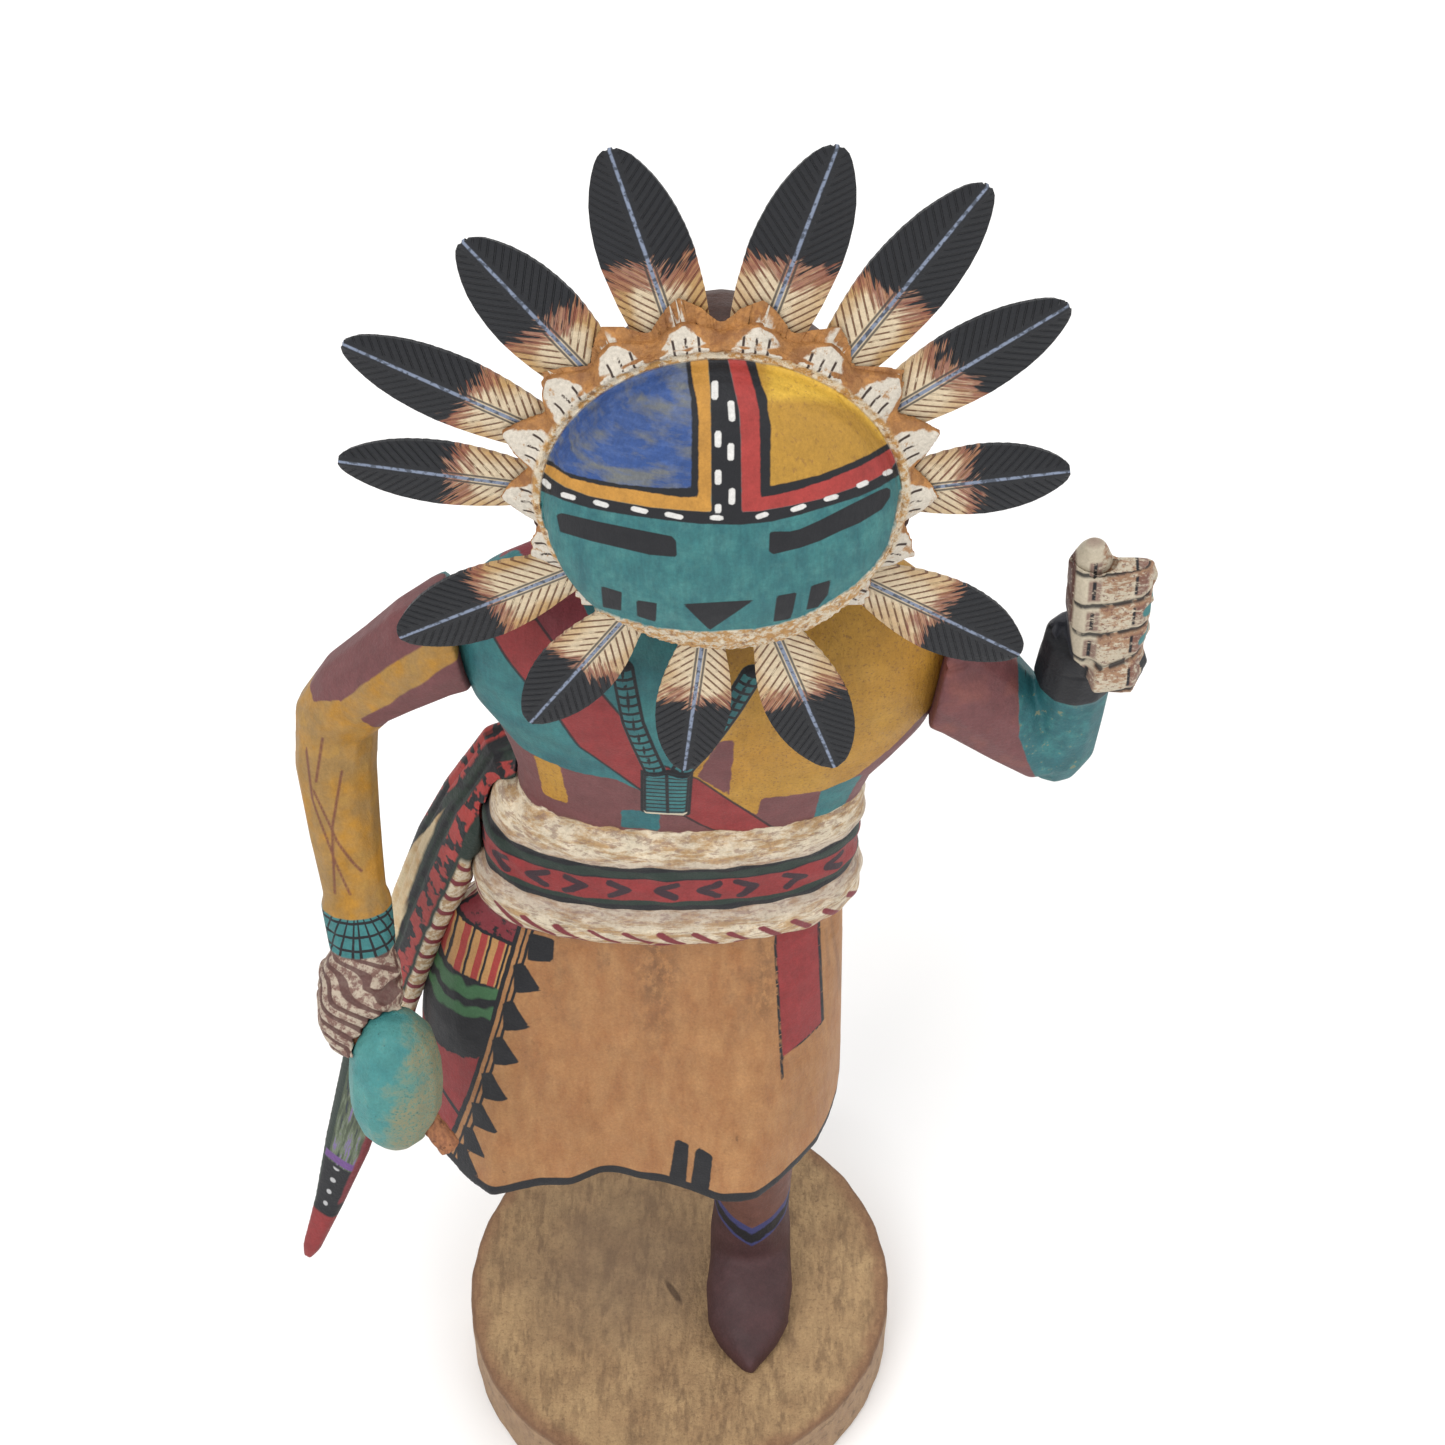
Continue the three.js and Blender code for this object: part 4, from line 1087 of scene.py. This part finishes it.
def left_arm_paint():
    p = Paint("left_arm_paint")
    maroon = worn(p, p.mix(p.noise(6, 2).above(0.6, 0.2) * 0.4, MAROON, tint("8e5447")), 0.3)
    turquoise = worn(p, p.mix(p.noise(4, 4, 0.65).above(0.56, 0.16), TURQUOISE_DEEP, TURQUOISE), 0.35)
    turquoise = p.mix(p.noise(2, 4, 0.7).above(0.64, 0.04) * 0.7, turquoise, OLIVE)
    x, z, gap = p.x, p.z, p.value("gap")
    brown = p.noise(1, 4, 0.7, p.stretch(0.6, 1, 1.3))
    upper = (p.value("row") + 0.5) % 1
    skin = p.mix(x.above(75, 0.6) * (brown + upper * 0.25).above(0.64, 0.12) * 0.85, tint("c4b8a2"), tint("94694a"))
    skin = p.mix(x.above(75, 0.6) * p.noise(0.8, 3, 0.7).above(0.6, 0.05) * 0.7, skin, HAND_BROWN)
    joints = abs(x - 73.9).below(1.1, 0.4) | abs(x - 82).below(1.1, 0.4)
    lines = abs(x - 73.8).below(0.3, 0.2) | abs(x - 81).below(0.26, 0.2)
    hand = p.layers(
        skin,
        (joints * brown.above(0.42, 0.15) * gap.above(0.8, 0.5) * z.below(278, 0.5) * 0.75, HAND_BROWN),
        (lines * gap.above(1) * brown.above(0.42, 0.1) * z.below(278), BLACK),
        (gap.below(0.34, 0.3) * p.noise(2.5, 2).above(0.38, 0.1) * 0.9, BLACK),
        (z.above(280.6, 0.6) * 0.85, tint("744a44")),
        (x.below(70.6, 0.4) * brown.above(0.4, 0.1), tint("5d3b33")),
        ((x + (z - 251) * 0.19).below(72.6, 0.3) * z.below(270, 0.5), tint("33343b")),
        (p.value("dots").below(1.1, 0.3), TURQUOISE),
    )
    band = p.z + (64 - x).above(0, 1) * -40
    colour = p.layers(
        maroon,
        (p.value("elbow").below((p.noise(3) - 0.5) * 0.6), turquoise),
        (band.above(242.7, 0.3), worn(p, BLACK, 0.4)),
        (p.value("hand").above(0.5, 0.2), hand),
    )
    height = p.noise(0.6, 3, 0.6) * 0.5 + p.noise(5, 2) * 0.8
    return p.finish(colour, 0.5 + p.noise(3, 2) * 0.2, height, 0.28)


# Side sash

SASH_LINE = [
    (-24.6, 14, 209.5), (-31, 14, 205.2), (-38.6, 13.5, 189.6), (-44.2, 13, 175.2), (-50.8, 12, 155.7),
    (-58.1, 10, 131.1), (-64.8, 8, 104.9), (-71.9, 4, 77.4), (-77.5, 0, 58.5), (-82.2, -4, 45.6), (-83.4, -5, 42.6),
]
SASH_HALF = [5.6, 6.8, 7.6, 7.8, 7.4, 7, 6.4, 5.2, 3.2, 2, 1]
SASH_WIDE = [(-0.3, 0.85, 0.4)] * 3 + [(-0.55, 0.8, 0.2)] * 3 + [(-0.8, 0.55, 0.1)] * 5


def sash_place(points):
    """Distance down the sash, and place across it from -1 by the body to 1 at the outside."""
    best = np.full(len(points), 1e9)
    along, across = np.zeros(len(points)), np.zeros(len(points))
    walked = 0
    for i in range(len(SASH_LINE) - 1):
        start, end = np.array(SASH_LINE[i]), np.array(SASH_LINE[i + 1])
        run = end - start
        length = np.linalg.norm(run)
        share = np.clip((points - start) @ run / length ** 2, 0, 1)
        offset = points - start - share[:, None] * run
        distance = np.linalg.norm(offset, axis=1)
        wide = np.array(SASH_WIDE[i]) * (1 - share[:, None]) + np.array(SASH_WIDE[i + 1]) * share[:, None]
        wide -= (wide @ run / length ** 2)[:, None] * run
        wide /= np.linalg.norm(wide, axis=1)[:, None]
        half = SASH_HALF[i] * (1 - share) + SASH_HALF[i + 1] * share
        near = distance < best
        best = np.where(near, distance, best)
        along = np.where(near, walked + share * length, along)
        across = np.where(near, np.sum(offset * wide, axis=1) / half, across)
        walked += length
    return along, across


def make_sash():
    piece = carved("side_sash", "carved_side_sash", 0.45, 12)
    along, across = sash_place(spots(piece))
    fold = np.exp(-(across / 0.08) ** 2) + bell(across, 0.62, 0.07) * (along < 70)
    push(piece, -0.5 * fold * np.clip(along / 10, 0, 1) * (along < 120))
    lay(piece, "along", along)
    lay(piece, "across", across)
    stand_for(piece, "side_sash", sash_paint())


def sash_paint():
    p = Paint("sash_paint")
    along, across = p.value("along"), p.value("across") + (p.noise(4) - 0.5) * 0.12
    place = p.place(along, across * 7, 0.0)
    bare = worn(p, p.mix(p.noise(5, 3, 0.6).above(0.55, 0.2), tint("dcc7a0"), tint("c3a070")), 0.2)
    red = worn(p, FACE_RED, 0.35)
    blots = p.noise(3.1, 2, 0.5, place).above(0.53, 0.05)
    red = p.mix(blots, red, BLACK)
    inner = across.below(-0.05, 0.05)
    outer = (across - (along - 12) * 0.028).above(0, 0.05)
    border = abs(across + 0.02).below(0.13, 0.05) | abs(across - (along - 12) * 0.028).below(0.14, 0.05)
    cut_at = p.place(along * 0.12, across * 7, 3.0)
    streaks = p.noise(1.1, 2, 0.6, cut_at)
    streaky = p.layers(
        p.mix(streaks.above(0.5, 0.1), tint("4a5440"), tint("6b7660")),
        (streaks.above(0.6, 0.05), tint("7a6a94")),
        (streaks.below(0.38, 0.05), tint("29313a")),
    )
    middle = abs(across - 0.12).below(0.34 - along * 0.004, 0.1) * along.below(60, 6)
    low = along.above(106, 0.8)
    bead = ((along + 0.6) % 4.1) - 2
    dots = p.math("SQRT", bead * bead + (across + 0.1) * (across + 0.1) * 16)
    rope = p.mix(p.noise(1.4, 4, 0.7).above(0.5, 0.12) * 0.8, CREAM, ROLL_STAIN)
    rope = p.mix(((along + across * 5) % 5.2).below(1.4, 0.4), rope, DARK_RED)
    strands = p.noise(1, 2, 0.5, p.place(along * 0.08, across * 6, 9.0))
    colour = p.layers(
        bare,
        (inner | outer, red),
        (middle, p.mix(strands.above(0.5, 0.08), GREEN_BLACK, tint("1f2125"))),
        (border, p.mix(p.noise(4).above(0.5, 0.1), BLACK, GREEN_BLACK)),
        (across.below(-0.7, 0.06), GREEN_BLACK),
        (across.below(-0.8, 0.06) * along.above(34, 2), rope),
        (low, streaky),
        (low * across.above(0.5, 0.08), GREEN_BLACK),
        (abs(along - 146.5).below(1.1, 0.4), tint("6d4a86")),
        (along.above(148, 0.5), BLACK),
        (along.above(149, 0.5) * along.below(163, 0.5) * dots.below(0.7, 0.3), tint("b9b9ba")),
        (low * along.below(160, 1) * across.below(-0.84, 0.08), DARK_RED),
        (low * across.above(0.72, 0.08), GREEN_BLACK),
        (along.above(165, 0.6), worn(p, RED, 0.2)),
    )
    height = p.noise(0.7, 3) * 0.5 + p.noise(4, 2) * 0.8
    return p.finish(colour, 0.55, height, 0.25)


# Rattle

def make_gourd():
    piece = carved("rattle_gourd", "carved_gourd", 0.4, 14)
    p = Paint("gourd_paint")
    speckle = p.noise(0.55, 3, 0.7)
    patch = (p.noise(5, 4, 0.65) + (p.x + 53) * 0.045 - (p.z - 156) * 0.012).above(0.52, 0.3)
    turquoise = worn(p, p.mix(p.noise(8, 3).above(0.5, 0.6), tint("3a8385"), tint("53958e")), 0.25)
    colour = p.layers(
        turquoise,
        (patch * 0.55, tint("6f8a70")),
        (patch * speckle.above(0.45, 0.1) * 0.8, tint("8b7f5d")),
        (patch * speckle.below(0.36, 0.05) * 0.8, tint("3d4038")),
        (p.noise(0.9, 2).above(0.72, 0.03) * 0.7, tint("2e4b50")),
    )
    stand_for(piece, "rattle_gourd", p.finish(colour, 0.55, speckle + p.noise(5, 2) * 2, 0.25))


def make_stick():
    piece = carved("rattle_handle", "rattle_stick", 0.3, 5)
    points = spots(piece)
    start, end = np.array((-61.6, -21.7, 167.2)), np.array((-43.5, -33.6, 139.7))
    run = (end - start) / np.linalg.norm(end - start)
    along = (points - start) @ run
    side = points - start - along[:, None] * run
    angle = np.arctan2(side[:, 2], side[:, 0])
    radius = np.linalg.norm(side, axis=1)
    flats = 1 - 0.07 * np.abs(np.sin(angle * 2.5 + along * 0.05)) - 0.03 * np.sin(along * 2.2 + angle * 3)
    end_cut = np.where(along > 34, (radius < 2.1) * -0.25 * (1 + np.sin(points[:, 0] * 7)), 0)
    reshape(piece, start + along[:, None] * run + side * flats[:, None] + end_cut[:, None] * run)
    lay(piece, "along", along)
    lay(piece, "radius", radius)
    p = Paint("stick_wood")
    cut_at = p.place(p.value("along") * 0.15, p.x, p.y)
    grain = p.noise(0.8, 3, 0.6, cut_at)
    end = p.value("along").above(34.6, 0.5) * p.value("radius").below(2.2, 0.2)
    colour = p.layers(
        p.mix(grain.above(0.5, 0.2), STICK, tint("a9714c")),
        (p.noise(1.5, 3).above(0.62, 0.06) * 0.7, tint("5a3526")),
        (end * grain.below(0.55, 0.2), tint("4a2b20")),
    )
    stand_for(piece, "rattle_handle", p.finish(colour, 0.75, grain, 0.3), 35)


# Base

BASE_RADIUS = 48.5
BASE_THICK = 20


def make_base():
    deselect()
    bpy.ops.mesh.primitive_cylinder_add(vertices=160, radius=BASE_RADIUS * MM, depth=BASE_THICK * MM,
                                        location=(0, 0, BASE_THICK * MM / 2), end_fill_type="NGON")
    piece = bpy.context.object
    piece.name = piece.data.name = "cottonwood_slab"
    bpy.ops.object.transform_apply(location=True)
    bpy.ops.object.mode_set(mode="EDIT")
    bpy.ops.mesh.select_all(action="SELECT")
    for level in (4, 8, 12, 16):
        bpy.ops.mesh.bisect(plane_co=(0, 0, level * MM), plane_no=(0, 0, 1))
        bpy.ops.mesh.select_all(action="SELECT")
    bpy.ops.object.mode_set(mode="OBJECT")
    bevel = piece.modifiers.new("worn_rim", "BEVEL")
    bevel.width = 1.5 * MM
    bevel.segments = 4
    bevel.limit_method = "ANGLE"
    bpy.ops.object.modifier_apply(modifier="worn_rim")
    points = spots(piece)
    angle = np.arctan2(points[:, 1], points[:, 0])
    wobble = 0.008 * np.sin(2 * angle + 0.6) + 0.006 * np.sin(3 * angle + 2)
    ripple = 0.0018 * np.sin(23 * angle + points[:, 2] * 0.3) + 0.0014 * np.sin(41 * angle + 1) - 0.0065
    points[:, :2] *= (1 + wobble + ripple)[:, None]
    reshape(piece, points)
    stand_for(piece, "base", base_wood(), 40)


def base_wood():
    p = Paint("base_wood")
    saw_turn = (0, 0, math.radians(-62))
    turned = p.node("ShaderNodeMapping", None, {"Vector": p.spot, "Rotation": saw_turn, "Scale": (1, 0.3, 1)})
    saw = p.noise(1.3, 3, 0.6, turned)
    rows = p.noise(5, 3, 0.6, turned)
    pores = p.noise(1.0, 3, 0.65)
    cloud = p.noise(9, 3, 0.6)
    top = p.mix(cloud.above(0.5, 0.4), BASE_TOP, BASE_PALE)
    top = p.mix(saw.above(0.5, 0.2) * rows.above(0.45, 0.3) * 0.6, top, BASE_DARK)
    top = p.mix(pores.below(0.4, 0.06) * 0.35, top, BASE_DARK)
    # The slab's top is darker in a soft, ragged patch left of the middle, under the figure.
    dark_patch = p.math("SQRT", (p.x + 14) * (p.x + 14) + (p.y - 6) * (p.y - 6)) + (p.noise(12, 3) - 0.5) * 26
    top = p.mix(dark_patch.below(20, 22) * 0.5, top, tint("6f5c4c"))
    from_middle = p.math("SQRT", p.x * p.x + p.y * p.y)
    top = p.mix((from_middle + (p.noise(6, 3) - 0.5) * 6).above(45.5, 2.5) * 0.55, top, tint("8a5f46"))
    across_mark, along_mark = (p.x + 1.2) * 0.84 + (p.y + 2.2) * 0.54, (p.x + 1.2) * 0.54 - (p.y + 2.2) * 0.84
    gouge = p.math("SQRT", across_mark * across_mark + along_mark * along_mark * 0.06).below(0.8, 0.4)
    side_grain = p.noise(2.4, 4, 0.65, p.stretch(1, 1, 0.35))
    side = p.mix(side_grain.above(0.5, 0.3), BASE_SIDE, tint("a98a69"))
    side = p.mix(p.noise(3, 3).above(0.62, 0.08) * 0.6, side, BASE_DARK)
    colour = p.layers(
        side,
        (p.z.above(19.2, 0.5), top),
        (abs(p.z - 19.2).below(0.7, 0.5) * 0.5, tint("5b3a2b")),
        (gouge * p.z.above(19.5) * 0.8, tint("4b3728")),
    )
    height = saw * 0.6 + pores * 0.9 + side_grain * 0.5
    return p.finish(colour, 0.72, height, 0.4)


# Floor, light and camera

PHOTO_PIXELS = 1445
FOCAL_PIXELS = 3300
LOOK_DOWN = 52.4
PAPER = tint("f4f3f2")


def make_studio():
    deselect()
    bpy.ops.mesh.primitive_plane_add(size=6)
    floor = bpy.context.object
    floor.name = "floor"
    p = Paint("floor_paper")
    shade = p.noise(60, 2)
    floor.data.materials.append(p.finish(p.tone(PAPER, 0.99 + shade * 0.02), 0.9, specular=0.1, aged=False))
    world = bpy.data.worlds.new("studio")
    bpy.context.scene.world = world
    world.use_nodes = True
    world.node_tree.nodes["Background"].inputs[0].default_value = (1, 1, 1, 1)
    world.node_tree.nodes["Background"].inputs[1].default_value = 0.75
    for name, spot, size, power in (
        ("key", (-0.9, -1.1, 1.9), 1.4, 30),
        ("fill", (1.3, -0.8, 1.3), 1.6, 12),
        ("back", (0.3, 1.4, 1.6), 1.4, 10),
    ):
        lamp = bpy.data.lights.new(name, "AREA")
        lamp.size = size
        lamp.energy = power
        light = bpy.data.objects.new(name, lamp)
        light.location = spot
        light.rotation_euler = (Vector((0, 0, 0.18)) - Vector(spot)).to_track_quat("-Z", "Y").to_euler()
        bpy.context.scene.collection.objects.link(light)


def make_camera():
    data = bpy.data.cameras.new("camera")
    data.sensor_width = 36
    data.lens = FOCAL_PIXELS / PHOTO_PIXELS * data.sensor_width
    data.clip_start = 0.01
    camera = bpy.data.objects.new("camera", data)
    camera.location = [length * MM for length in EYE]
    camera.rotation_euler = (math.radians(90 - LOOK_DOWN), 0, 0)
    bpy.context.scene.collection.objects.link(camera)
    bpy.context.scene.camera = camera
    bpy.context.scene.view_settings.view_transform = "Standard"


make_camera()
make_studio()
make_base()
make_figure()
make_head()
make_feathers()
make_right_arm()
make_left_arm()
make_sash()
make_gourd()
make_stick()
